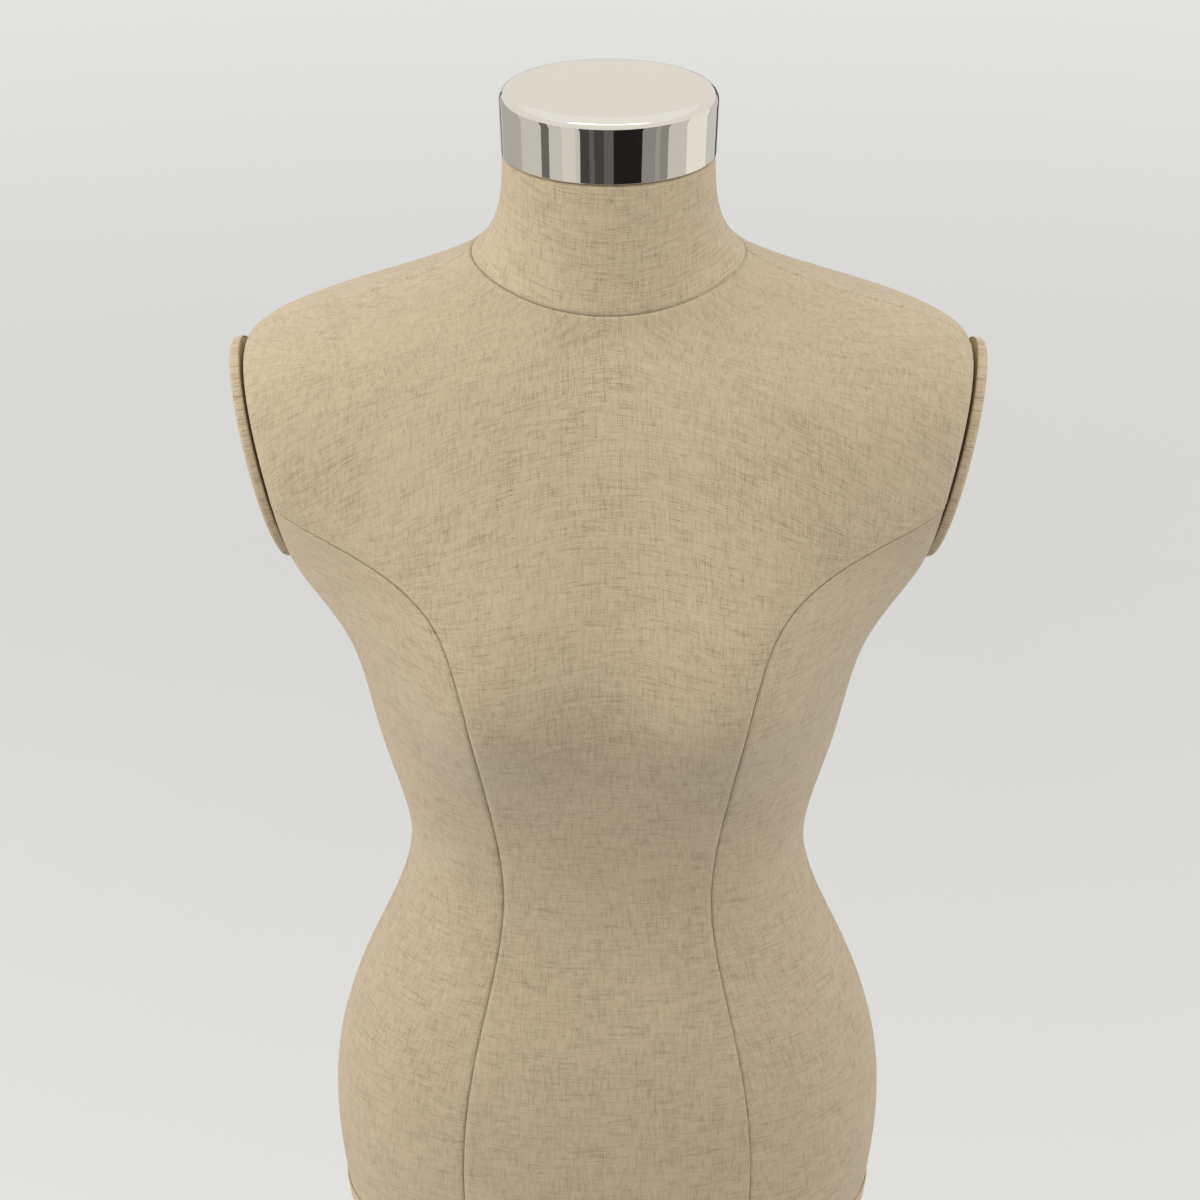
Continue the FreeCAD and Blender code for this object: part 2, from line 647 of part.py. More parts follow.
class Form:
    """The linen's outer face, as a point for each angle t round the body and place v up it.

    Each ring is an ellipse with its own half width and its own front and back depths,
    pushed out towards a rectangle by its squareness. Angle 0 is the form's left side and
    -90 degrees the middle of the front. Natural cubics join the rings along v, which
    counts the mean length of the side and front meridians. Bust, shoulder blades and
    seat are soft mounds along Y, and a plane at each arm ends the body softly.
    """

    def __init__(self):
        table = [[size(ring + "_" + c) for c in RING_COLUMNS] for ring, _ in RINGS]
        knots = [0.0]
        for low, high in zip(table, table[1:]):
            side = math.hypot(high[0] - low[0], high[3] - low[3])
            front = math.hypot(high[1] - low[1], high[4] - low[4])
            knots.append(knots[-1] + (side + front) / 2)
        self.knots = dict(zip([ring for ring, _ in RINGS], knots))
        self.columns = [natural_spline(knots, list(c)) for c in zip(*table)]

    def point(self, t, v):
        side_z, front_z, back_z, half, front, back, square = [f(v) for f in self.columns]
        c, s = math.cos(t), math.sin(t)
        push = (abs(c) ** square + abs(s) ** square) ** (-1 / square)
        x = half * c * push
        y = (front if s < 0 else back) * s * push
        z = side_z + ((front_z if s < 0 else back_z) - side_z) * s * s
        y += self.mounds(x, z, s)
        plane = self.arm_plane(z)
        x = (math.hypot(x + plane, ARM["round"]) - math.hypot(x - plane, ARM["round"])) / 2
        return Vector(x, y, size_hem + z)

    @staticmethod
    def arm_plane(z):
        """How far out the arm plane stands at a height. Below its end it moves out of the way."""
        under = ARM["low"] - z
        under = (under + math.hypot(under, ARM["round"])) / 2
        return ARM["x"] + ARM["lean"] * (z - ARM["z"]) + ARM["flare"] * under

    @staticmethod
    def mounds(x, z, s):
        """How far the bust, shoulder blades and seat move a point along Y."""
        def pair(middle, spread, height, rise):
            return rise * sum(math.exp(-((x - k * middle) / spread) ** 2 - height ** 2) for k in (-1, 1))

        if s < 0:
            above = z - BUST["z"]
            spread = BUST["above"] if above > 0 else BUST["below"]
            return s * pair(BUST["x"], BUST["spread"], above / spread, BUST["rise"])
        blades = pair(BLADE["x"], BLADE["spread"], (z - BLADE["z"]) / BLADE["spread"], BLADE["rise"])
        seat = pair(SEAT["x"], SEAT["spread"], (z - SEAT["z"]) / SEAT["spread"], SEAT["rise"])
        return s * (blades + seat)

    def normal(self, t, v):
        """The outward direction, from steps along t and v."""
        high = min(v + 0.5, self.knots["neck_top"])
        along = self.point(t, high) - self.point(t, high - 1.0)
        around = self.point(t + EDGE_STEP, v) - self.point(t - EDGE_STEP, v)
        return around.cross(along).normalize()

    def inside(self, t, v, depth):
        """A point that lies depth inside the linen's outer face."""
        return self.point(t, v) - self.normal(t, v) * depth

    def grid(self, left, right, places, columns, depth):
        """Rows of points between the angles left(v) and right(v), one for each place v."""
        made = []
        for v in places:
            a, b = left(v), right(v)
            made.append([self.inside(a + (b - a) * j / (columns - 1), v, depth) for j in range(columns)])
        return made

    def angle_step(self, t, v, distance):
        """The change of angle that covers a distance round the body."""
        around = self.point(t + EDGE_STEP, v) - self.point(t - EDGE_STEP, v)
        return distance * 2 * EDGE_STEP / around.Length


def spline_poles(points):
    """The poles of the natural cubic through evenly numbered points.

    The slopes m at the points solve m[k-1] + 4 m[k] + m[k+1] = 3 (p[k+1] - p[k-1]), with
    2 m[0] + m[1] = 3 (p[1] - p[0]) at each end. The poles are the first point, the one a third
    of the first slope on, then p[k] - bend[k] / 6 for each inner point, and the same at the end.
    """
    last = len(points) - 1
    right = [(points[1] - points[0]) * 3]
    right += [(points[k + 1] - points[k - 1]) * 3 for k in range(1, last)]
    right.append((points[last] - points[last - 1]) * 3)
    diagonal = [2.0] + [4.0] * (last - 1) + [2.0]
    for k in range(1, last + 1):
        share = 1.0 / diagonal[k - 1]
        diagonal[k] -= share
        right[k] = right[k] - right[k - 1] * share
    slopes = [right[last] * (1 / diagonal[last])]
    for k in range(last - 1, -1, -1):
        slopes.insert(0, (right[k] - slopes[0]) * (1 / diagonal[k]))
    poles = [points[0], points[0] + slopes[0] * (1 / 3)]
    for k in range(1, last):
        bend = (points[k + 1] - points[k]) * 6 - slopes[k] * 4 - slopes[k + 1] * 2
        poles.append(points[k] - bend * (1 / 6))
    return poles + [points[last] - slopes[last] * (1 / 3), points[last]]


def smooth_surface(points):
    """The cubic surface through a grid of points, with evenly numbered rows and columns."""
    rows, columns = len(points), len(points[0])
    half = list(zip(*[spline_poles([row[j] for row in points]) for j in range(columns)]))
    poles = [spline_poles(list(row)) for row in half]
    surface = Part.BSplineSurface()
    surface.buildFromPolesMultsKnots(
        poles, [4] + [1] * (rows - 2) + [4], [4] + [1] * (columns - 2) + [4],
        [float(k) for k in range(rows)], [float(k) for k in range(columns)], False, False, 3, 3)
    return surface


def skin(outer, inner):
    """The closed solid between two grids of points: two smooth faces and four ruled edges."""
    faces, surfaces = [], []
    for points in (outer, inner):
        surface = smooth_surface(points)
        surfaces.append(surface)
        faces.append(surface.toShape())
    for direction in ("uIso", "vIso"):
        for end in (0, 1):
            edges = []
            for surface in surfaces:
                bounds = surface.bounds()
                place = bounds[end] if direction == "uIso" else bounds[2 + end]
                edges.append(getattr(surface, direction)(place).toShape())
            faces.append(Part.makeRuledSurface(*edges))
    shell = Part.makeShell(faces)
    shell.sewShape(SEW_TOLERANCE)
    solid = Part.makeSolid(shell)
    if solid.Volume < 0:
        solid.reverse()
    return solid


def feature(name, shape, label):
    """A sub-part whose shape is made by hand."""
    made = doc.addObject("Part::Feature", name)
    made.Shape = shape
    return keep(made, label)


def spread(low, high, step):
    """Places from low to high, about a step apart."""
    count = max(4, round((high - low) / step))
    return [low + (high - low) * k / count for k in range(count + 1)]


def seam_line():
    """The princess seam's angle from the side, up the body: it turns off under the arm plate."""
    leaves, ends = size("seam_leaves"), size("seam_ends")
    wide, soft = math.radians(size("seam_angle")), math.radians(size("seam_softness"))

    def angle(v):
        share = max(0.0, (v - leaves) / (ends - leaves))
        left = wide * (1 - share ** 3)
        return (left + math.hypot(left, soft)) / 2

    return angle


def build_cover(form):
    """Seven sewn panels from hem to neck base, the neck band above them and the hem tape."""
    gap = size("seam_gap") / 2
    seam = seam_line()
    hem, top = 0.0, form.knots["neck_base"] - gap
    turn = math.pi

    def side(angle, towards):
        """An edge at an angle, drawn in by half a seam gap towards the panel."""
        def edge(v):
            t = angle(v)
            return t + towards * form.angle_step(t, v, gap)
        return edge

    # The side panels stop under the arm plates. All rows are close together where the seam turns.
    leaves, stop = size("seam_leaves"), size("seam_ends")
    while seam(stop) < math.radians(size("seam_hidden")):
        stop -= 0.5
    below = spread(hem, leaves, ROW_STEP)[:-1] + spread(leaves, stop, SEAM_STEP)
    past = spread(stop, stop + 24, SEAM_STEP)[1:]
    whole = below + past + spread(past[-1], top, ROW_STEP)[1:]

    panels = {
        "front_centre": (side(lambda v: -turn + seam(v), 1), side(lambda v: -seam(v), -1), whole),
        "front_left": (side(lambda v: -seam(v), 1), side(lambda v: 0.0, -1), below),
        "front_right": (side(lambda v: -turn, 1), side(lambda v: -turn + seam(v), -1), below),
        "back_left": (side(lambda v: 0.0, 1), side(seam, -1), below),
        "back_right": (side(lambda v: turn - seam(v), 1), side(lambda v: turn, -1), below),
        "back_centre_left": (side(seam, 1), side(lambda v: turn / 2, -1), whole),
        "back_centre_right": (side(lambda v: turn / 2, 1), side(lambda v: turn - seam(v), -1), whole),
    }
    linen = size("linen")
    for name, (left, right, places) in panels.items():
        columns = 2 * PANEL_COLUMNS if name == "front_centre" else PANEL_COLUMNS
        grids = [form.grid(left, right, places, columns, depth) for depth in (0, linen)]
        feature("Linen_" + name, skin(*grids), "linen_" + name)

    # The neck band meets itself at the middle of the back.
    start, end = side(lambda v: turn / 2 - 2 * turn, 1), side(lambda v: turn / 2, -1)
    places = spread(form.knots["neck_base"] + gap, form.knots["neck_top"], SEAM_STEP)
    grids = [form.grid(start, end, places, NECK_COLUMNS, depth) for depth in (0, linen)]
    feature("Linen_neck", skin(*grids), "linen_neck")

    # The tape lies on the panels, round the hem.
    places = spread(hem, size("tape_height"), SEAM_STEP)
    grids = [form.grid(start, end, places, NECK_COLUMNS, -depth) for depth in (1.1, 0.3)]
    feature("Tape", skin(*grids), "hem_tape")


def build_shells(form):
    """Front and back halves of the moulded torso, joined at the sides."""
    outer = size("linen") + size("cover_gap")
    inner = outer + size("shell")
    places = spread(0.0, form.knots["neck_top"] - size("neck_turning"), ROW_STEP)

    def edge(angle, towards):
        return lambda v: angle + towards * form.angle_step(angle, v, 0.1)

    for name, start in (("front", -math.pi), ("back", 0.0)):
        left, right = edge(start, 1), edge(start + math.pi, -1)
        grids = [form.grid(left, right, places, SHELL_COLUMNS, depth) for depth in (outer, inner)]
        feature("Shell_" + name, skin(*grids), "torso_shell_" + name)


def build_board(form):
    """Plywood board that closes the bottom of the shells, with holes for socket and screws."""
    # The shells are narrowest at the hem, so the rim follows their inner face there.
    depth = size("linen") + size("cover_gap") + size("shell") + 0.7
    rim = Part.BSplineCurve()
    places = [form.inside(2 * math.pi * k / 96, 0.0, depth) for k in range(96)]
    for place in places:
        place.z = size_hem
    rim.interpolate(places, PeriodicFlag=True)
    lift = Vector(0, 0, size("board_thickness"))
    board = Part.Face(Part.Wire(rim.toShape())).extrude(lift)
    base = Vector(0, 0, size_hem)
    board = board.cut(Part.makeCylinder(size("socket_radius") + size("seat_gap"), lift.z, base))
    for k in range(4):
        angle = math.radians(45 + 90 * k)
        place = base + Vector(math.cos(angle), math.sin(angle), 0) * size("fixing_circle")
        board = board.cut(Part.makeCylinder(size("fixing_radius") + size("seat_gap"), lift.z, place))
    feature("Board", board, "bottom_board")


def build_arm_plates():
    """An oval board in a linen cover on each arm plane."""
    lean = math.degrees(math.atan(size("arm_lean")))
    width, height = size("arm_half_width"), size("arm_half_height")
    board, linen = size("arm_thickness"), size("linen")
    stand = size("cover_gap") + 0.1

    def oval(grow, thick, at):
        """An upright oval slab whose face looks along +X."""
        curve = Part.Ellipse(Vector(), height + grow, width + grow)
        face = Part.Face(Part.Wire(curve.toShape()))
        face.rotate(Vector(), Vector(0, 1, 0), 90)
        slab = face.extrude(Vector(thick, 0, 0))
        slab.translate(Vector(at, 0, 0))
        return slab

    for name, sign in (("left", 1), ("right", -1)):
        plate = oval(0, board, stand)
        rim = [e for e in plate.Edges if e.Length > width and e.BoundBox.XMin > stand + board / 2]
        plate = plate.makeFillet(board / 3, rim[:1])
        cloth = oval(linen + 0.1, board + linen + 0.1, stand)
        rim = [e for e in cloth.Edges if e.Length > width and e.BoundBox.XMin > stand + board / 2]
        cloth = cloth.makeFillet(board / 3 + linen, rim[:1])
        hollow = oval(0.1, board + 0.1, stand)
        rim = [e for e in hollow.Edges if e.Length > width and e.BoundBox.XMin > stand + board / 2]
        cloth = cloth.cut(hollow.makeFillet(board / 3, rim[:1]))
        for label, shape in (("arm_plate_", plate), ("arm_cloth_", cloth)):
            shape = shape.copy()
            shape.rotate(Vector(), Vector(0, 1, 0), lean)
            shape.translate(Vector(ARM["x"], size("arm_y"), size_hem + ARM["z"]))
            if sign < 0:
                shape = shape.mirror(Vector(), Vector(1, 0, 0))
            feature(label + name, shape, label + name)


def write_steps():
    """Checks every sub-part and writes it to its own STEP file."""
    os.makedirs("parts", exist_ok=True)
    for thing in doc.Objects:
        if "Invalid" in thing.State or "Error" in thing.State:
            raise RuntimeError(thing.Name + " failed: " + ", ".join(thing.State))
    for thing in subparts:
        shape = thing.Shape
        if shape.isNull() or not shape.isValid() or not shape.Solids:
            raise RuntimeError(thing.Label + " has no valid solid")
        shape.exportStep("parts/" + thing.Label + ".step")
    print(len(subparts), "sub-parts written")


fill_sheet()
size_hem = size("hem_height")
ARM = {key: size("arm_" + key) for key in ("x", "z", "lean", "round", "low", "flare")}
BUST = {key: size("bust_" + key) for key in ("x", "z", "rise", "spread", "above", "below")}
BLADE = {key: size("blade_" + key) for key in ("x", "z", "rise", "spread")}
SEAT = {key: size("seat_" + key) for key in ("x", "z", "rise", "spread")}

build_base()
build_pole()
shank, head = build_thumb_screw("Height", "tube_top - collar_height / 2 + bush_lip", "boss_reach")
keep(shank, "height_screw")
keep(head, "height_knob")
shank, head = build_thumb_screw("Swivel", "hem_height - hub_height + 14", "hub_radius")
keep(shank, "swivel_screw")
keep(head, "swivel_knob")
build_fittings()
build_neck_cap()
body_form = Form()
build_shells(body_form)
build_cover(body_form)
build_board(body_form)
build_arm_plates()
doc.recompute()
write_steps()
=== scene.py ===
import math

import bmesh
import bpy
import numpy as np
from bpy.props import FloatProperty, FloatVectorProperty, IntProperty, PointerProperty
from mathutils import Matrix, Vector


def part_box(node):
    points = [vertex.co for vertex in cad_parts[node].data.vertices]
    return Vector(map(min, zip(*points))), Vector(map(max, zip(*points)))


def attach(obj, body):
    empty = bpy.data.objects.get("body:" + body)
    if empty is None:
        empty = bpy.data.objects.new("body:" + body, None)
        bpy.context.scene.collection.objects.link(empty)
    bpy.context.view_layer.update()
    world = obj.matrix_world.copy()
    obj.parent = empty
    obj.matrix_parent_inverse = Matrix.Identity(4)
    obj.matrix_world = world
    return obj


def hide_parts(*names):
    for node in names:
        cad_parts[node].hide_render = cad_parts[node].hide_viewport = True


bl_info = {
    "name": "Linen dress form on a stand",
    "version": (1, 0, 0),
    "blender": (4, 5, 0),
    "location": "3D View > Sidebar > Dress form",
    "description": "Makes the linen cover, chromed neck cap and chromed stand of a shop dress form",
    "category": "Add Mesh",
}

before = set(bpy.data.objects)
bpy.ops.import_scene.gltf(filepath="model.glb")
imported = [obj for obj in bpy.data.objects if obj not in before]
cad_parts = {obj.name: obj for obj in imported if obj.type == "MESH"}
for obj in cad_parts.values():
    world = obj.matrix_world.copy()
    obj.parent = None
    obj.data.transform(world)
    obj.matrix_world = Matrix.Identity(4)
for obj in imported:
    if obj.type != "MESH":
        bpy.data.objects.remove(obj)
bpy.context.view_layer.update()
MM = 0.001
FIT = 0.05 * MM     # left free between a turned piece and the one inside it
TURN_STEP = 1e-3    # step in radians for slopes round the body
FAR_OFF = 1e3       # in millimetres, further than anything on the form


def low(node):
    """The lowest corner of a CAD node's box."""
    return np.array(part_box(node)[0])


def high(node):
    """The highest corner of a CAD node's box."""
    return np.array(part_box(node)[1])


def radius(node):
    """The outer radius of a CAD node that is round about the pole."""
    return (high(node)[0] - low(node)[0]) / 2


def turned_size(node):
    """The bottom, top and outer radius of such a node."""
    return low(node)[2], high(node)[2], radius(node)


HEM = low("bottom_board")[2]


# ------------------------------------------------------------------ sizes and colours


class DressFormSizes(bpy.types.PropertyGroup):
    """What a maker would change about the cover and the trim."""

    grid_step: FloatProperty(
        name="Cloth grid", description="Spacing of the cover's vertices", default=0.0024, min=0.001,
        subtype="DISTANCE", unit="LENGTH")
    linen_thickness: FloatProperty(
        name="Linen thickness", description="Thickness of the cover cloth",
        default=0.0008, subtype="DISTANCE", unit="LENGTH")
    thread_pitch: FloatProperty(
        name="Thread pitch", description="Distance from one linen thread to the next",
        default=0.00062, subtype="DISTANCE", unit="LENGTH")
    seam_depth: FloatProperty(
        name="Seam depth", description="How deep the cloth dips into a seam",
        default=0.0011, subtype="DISTANCE", unit="LENGTH")
    seam_width: FloatProperty(
        name="Seam width", description="How far from the seam that dip reaches",
        default=0.0007, subtype="DISTANCE", unit="LENGTH")
    seam_pucker: FloatProperty(
        name="Seam pucker", description="Height of the small puckers beside a seam",
        default=0.00016, subtype="DISTANCE", unit="LENGTH")
    stitch_length: FloatProperty(
        name="Stitch length", description="Pitch of the stitches on the hem tape",
        default=0.0032, subtype="DISTANCE", unit="LENGTH")
    round_segments: IntProperty(
        name="Segments", description="Segments of the large turned pieces", default=192, min=24)


class DressFormFinishes(bpy.types.PropertyGroup):
    """The colours of the form, its fittings and the studio."""

    linen: FloatVectorProperty(
        name="Linen", description="Light threads of the cover", subtype="COLOR",
        default=(0.50, 0.402, 0.266), min=0, max=1)
    linen_dark: FloatVectorProperty(
        name="Linen, dark threads", description="Dark threads of the cover", subtype="COLOR",
        default=(0.232, 0.173, 0.107), min=0, max=1)
    tape: FloatVectorProperty(
        name="Hem tape", description="Woven tape round the hem", subtype="COLOR",
        default=(0.44, 0.345, 0.225), min=0, max=1)
    chrome: FloatVectorProperty(
        name="Chrome", description="Chromed steel", subtype="COLOR",
        default=(0.88, 0.875, 0.86), min=0, max=1)
    wood: FloatVectorProperty(
        name="Plywood", description="Birch plywood", subtype="COLOR",
        default=(0.62, 0.43, 0.25), min=0, max=1)
    floor: FloatVectorProperty(
        name="Floor", description="Studio floor", subtype="COLOR",
        default=(0.60, 0.60, 0.595), min=0, max=1)


# ------------------------------------------------------------------ materials


def add_node(tree, kind, inputs=(), **settings):
    """A shader node with its settings, and its inputs set from values or linked from sockets."""
    made = tree.nodes.new(kind)
    for key, value in settings.items():
        setattr(made, key, value)
    for key, value in dict(inputs).items():
        if isinstance(value, bpy.types.NodeSocket):
            tree.links.new(value, made.inputs[key])
        else:
            made.inputs[key].default_value = value
    return made


def calc(tree, operation, a, b=0.0, c=0.0):
    """The output of a Math node."""
    return add_node(tree, "ShaderNodeMath", {0: a, 1: b, 2: c}, operation=operation).outputs[0]


def vector(tree, x, y, z=0.0):
    """A vector put together from three numbers or sockets."""
    return add_node(tree, "ShaderNodeCombineXYZ", {0: x, 1: y, 2: z}).outputs[0]


def noise(tree, place, scale, detail=2.0, roughness=0.5):
    """The factor of a Noise texture at a place."""
    inputs = {"Vector": place, "Scale": scale, "Detail": detail, "Roughness": roughness}
    return add_node(tree, "ShaderNodeTexNoise", inputs).outputs["Fac"]


def ramp(tree, factor, stops):
    """A colour ramp through stops, each a position and a colour or a grey."""
    made = add_node(tree, "ShaderNodeValToRGB", {0: factor})
    elements = made.color_ramp.elements
    for k, (position, colour) in enumerate(stops):
        element = elements[k] if k < len(elements) else elements.new(position)
        element.position = position
        element.color = (*colour, 1) if np.ndim(colour) else (colour, colour, colour, 1)
    return made.outputs[0]


def between(tree, factor, a, b, blend="MIX"):
    """Two colours mixed by a factor."""
    made = add_node(tree, "ShaderNodeMix", data_type="RGBA", blend_type=blend)
    for key, value in ((0, factor), (6, a), (7, b)):
        if isinstance(value, bpy.types.NodeSocket):
            tree.links.new(value, made.inputs[key])
        else:
            made.inputs[key].default_value = value if key == 0 else (*value, 1)
    return made.outputs[2]


def shade(colour, factor):
    """A colour made lighter or darker."""
    return tuple(min(1.0, channel * factor) for channel in colour)


def blank(name, metallic=0.0, roughness=0.5, **sockets):
    """A new material: its tree, its shader, and the shader's plain values."""
    material = bpy.data.materials.new(name)
    material.use_nodes = True
    tree = material.node_tree
    shader = tree.nodes["Principled BSDF"]
    shader.inputs["Metallic"].default_value = metallic
    shader.inputs["Roughness"].default_value = roughness
    for key, value in sockets.items():
        shader.inputs[key.replace("_", " ")].default_value = value
    return material, tree, shader


def bump(tree, shader, height, distance, strength=1.0):
    """Raises the surface's shading by a height of up to a distance."""
    inputs = {"Height": height, "Distance": distance, "Strength": strength}
    tree.links.new(add_node(tree, "ShaderNodeBump", inputs).outputs[0], shader.inputs["Normal"])


def own_place(tree):
    """The Object coordinates."""
    return add_node(tree, "ShaderNodeTexCoord").outputs["Object"]


def woven(name, light, dark, pitch, fleck):
    """Plain weave on the cloth's own UV map, which is in metres.

    With a and b the counts of threads across and up, a crossing is a dome |sin(pi a) sin(pi b)|,
    drawn out along the warp in even cells and along the weft in odd ones. Each thread has a
    tone of its own that drifts along it, which gives the slubs.
    """
    material, tree, shader = blank(
        name, Specular_IOR_Level=0.22, Sheen_Weight=0.22, Sheen_Roughness=0.45)
    uv = add_node(tree, "ShaderNodeUVMap", uv_map="cloth").outputs[0]
    along = add_node(tree, "ShaderNodeSeparateXYZ", {0: uv}).outputs
    drift = calc(tree, "MULTIPLY_ADD", noise(tree, uv, 55, 2), 1.6, -0.8)
    a = calc(tree, "MULTIPLY_ADD", along[0], 1 / pitch, drift)
    b = calc(tree, "MULTIPLY_ADD", along[1], 0.93 / pitch, drift)
    across = calc(tree, "ABSOLUTE", calc(tree, "SINE", calc(tree, "MULTIPLY", a, math.pi)))
    up = calc(tree, "ABSOLUTE", calc(tree, "SINE", calc(tree, "MULTIPLY", b, math.pi)))
    warp, weft = calc(tree, "FLOOR", a), calc(tree, "FLOOR", b)
    even = calc(tree, "FLOORED_MODULO", calc(tree, "ADD", warp, weft), 2.0)
    over = calc(tree, "MULTIPLY", calc(tree, "POWER", across, 0.45), up)
    under = calc(tree, "MULTIPLY", across, calc(tree, "POWER", up, 0.45))
    dome = add_node(tree, "ShaderNodeMix", {0: even, 2: over, 3: under}).outputs[0]

    warp_place = vector(tree, calc(tree, "MULTIPLY", warp, 3.17), calc(tree, "MULTIPLY", along[1], 95))
    weft_place = vector(
        tree, calc(tree, "MULTIPLY", along[0], 70), calc(tree, "MULTIPLY", weft, 3.17), 7.0)
    warp_tone, weft_tone = noise(tree, warp_place, 1, 3, 0.6), noise(tree, weft_place, 1, 3, 0.6)
    tone = add_node(tree, "ShaderNodeMix", {0: even, 2: warp_tone, 3: weft_tone}).outputs[0]
    broad = noise(tree, uv, 14, 4, 0.6)
    tone = calc(tree, "MULTIPLY_ADD", broad, 0.16, calc(tree, "SUBTRACT", tone, 0.08))
    colour = ramp(tree, tone, [(0.28, dark), (0.5, shade(light, 0.88)), (0.72, light)])
    # Painted shade: the colour is darkened to 0.62 of itself where the thread dome is low, in the hollows
    # between the threads.
    painted_crevice_shade = ramp(tree, dome, [(0.0, 0.62), (0.55, 1.0)])
    colour = between(tree, 1.0, colour, painted_crevice_shade, "MULTIPLY")
    bark = noise(tree, vector(tree, calc(tree, "MULTIPLY", along[0], 260),
                              calc(tree, "MULTIPLY", weft, 5.3), 3.0), 1, 1)
    bark = ramp(tree, bark, [(0.74, 0.0), (0.79, 1.0)])
    colour = between(tree, calc(tree, "MULTIPLY", bark, fleck), colour, shade(dark, 0.45))
    tree.links.new(colour, shader.inputs["Base Color"])
    rough = ramp(tree, tone, [(0.2, 0.78), (0.8, 0.95)])
    tree.links.new(rough, shader.inputs["Roughness"])
    slub = calc(tree, "MULTIPLY_ADD", tone, 0.5, dome)
    bump(tree, shader, slub, 0.00016, 0.55)
    return material


def twill_tape(name, colour, pitch):
    """Herringbone tape: ridges that slant up along its length and turn at the tape's middle."""
    material, tree, shader = blank(
        name, Specular_IOR_Level=0.25, Sheen_Weight=0.15, Sheen_Roughness=0.4)
    uv = add_node(tree, "ShaderNodeUVMap", uv_map="cloth").outputs[0]
    along = add_node(tree, "ShaderNodeSeparateXYZ", {0: uv}).outputs
    turn = calc(tree, "PINGPONG", along[1], 0.006)
    slant = calc(tree, "MULTIPLY", calc(tree, "ADD", along[0], turn), math.pi / pitch)
    ridge = calc(tree, "ABSOLUTE", calc(tree, "SINE", slant))
    place = vector(tree, calc(tree, "MULTIPLY", along[0], 400), calc(tree, "MULTIPLY", along[1], 1500))
    grain = noise(tree, place, 1, 3)
    tone = calc(tree, "MULTIPLY_ADD", ridge, 0.45, calc(tree, "MULTIPLY", grain, 0.55))
    tree.links.new(ramp(tree, tone, [(0.2, shade(colour, 0.6)), (0.75, shade(colour, 1.12))]),
                   shader.inputs["Base Color"])
    tree.links.new(ramp(tree, grain, [(0.2, 0.75), (0.8, 0.92)]), shader.inputs["Roughness"])
    bump(tree, shader, tone, 0.00015, 0.6)
    return material


def polished(name, colour, waviness=1.0):
    """Polished chrome: a mirror with a faint wave in it, hairline scratches and a little haze."""
    material, tree, shader = blank(name, metallic=1.0, Base_Color=(*colour, 1))
    place = own_place(tree)
    haze = noise(tree, place, 16, 4, 0.6)
    turned = add_node(tree, "ShaderNodeMapping",
                      {"Vector": place, "Rotation": (0.3, 0.5, 0.8), "Scale": (1, 60, 14)}).outputs[0]
    hair = ramp(tree, noise(tree, turned, 26, 3), [(0.66, 0.0), (0.72, 1.0)])
    rough = calc(tree, "MULTIPLY_ADD", hair, 0.05, calc(tree, "MULTIPLY_ADD", haze, 0.05, 0.012))
    tree.links.new(rough, shader.inputs["Roughness"])
    wave = noise(tree, place, 34, 1)
    bump(tree, shader, wave, 0.00022 * waviness, 0.5)
    return material


def zinc(name):
    """Zinc-plated steel, dull and slightly mottled."""
    material, tree, shader = blank(name, metallic=1.0)
    place = own_place(tree)
    spots = noise(tree, place, 420, 4, 0.7)
    tree.links.new(ramp(tree, spots, [(0.3, (0.44, 0.45, 0.47)), (0.7, (0.62, 0.62, 0.61))]),
                   shader.inputs["Base Color"])
    tree.links.new(ramp(tree, spots, [(0.3, 0.24), (0.7, 0.42)]), shader.inputs["Roughness"])
    bump(tree, shader, spots, 0.00005, 0.4)
    return material


def moulded(name, colour, rough, grain):
    """Moulded plastic or rubber with a fine, even grain and a few scuffs."""
    material, tree, shader = blank(name, Specular_IOR_Level=0.4)
    place = own_place(tree)
    fine, scuff = noise(tree, place, grain, 3), noise(tree, place, 45, 5, 0.7)
    tree.links.new(ramp(tree, scuff, [(0.35, shade(colour, 0.85)), (0.75, shade(colour, 1.25))]),
                   shader.inputs["Base Color"])
    tree.links.new(ramp(tree, scuff, [(0.3, rough - 0.08), (0.75, rough + 0.1)]),
                   shader.inputs["Roughness"])
    bump(tree, shader, fine, 0.0001, 0.5)
    return material


def fibre_shell(name):
    """Moulded shell: pale resin with the mottle of its glass fibres."""
    material, tree, shader = blank(name, roughness=0.6)
    place = own_place(tree)
    fibres = noise(tree, place, 160, 6, 0.75)
    tree.links.new(ramp(tree, fibres, [(0.3, (0.42, 0.37, 0.26)), (0.7, (0.62, 0.57, 0.44))]),
                   shader.inputs["Base Color"])
    bump(tree, shader, fibres, 0.0002, 0.5)
    return material


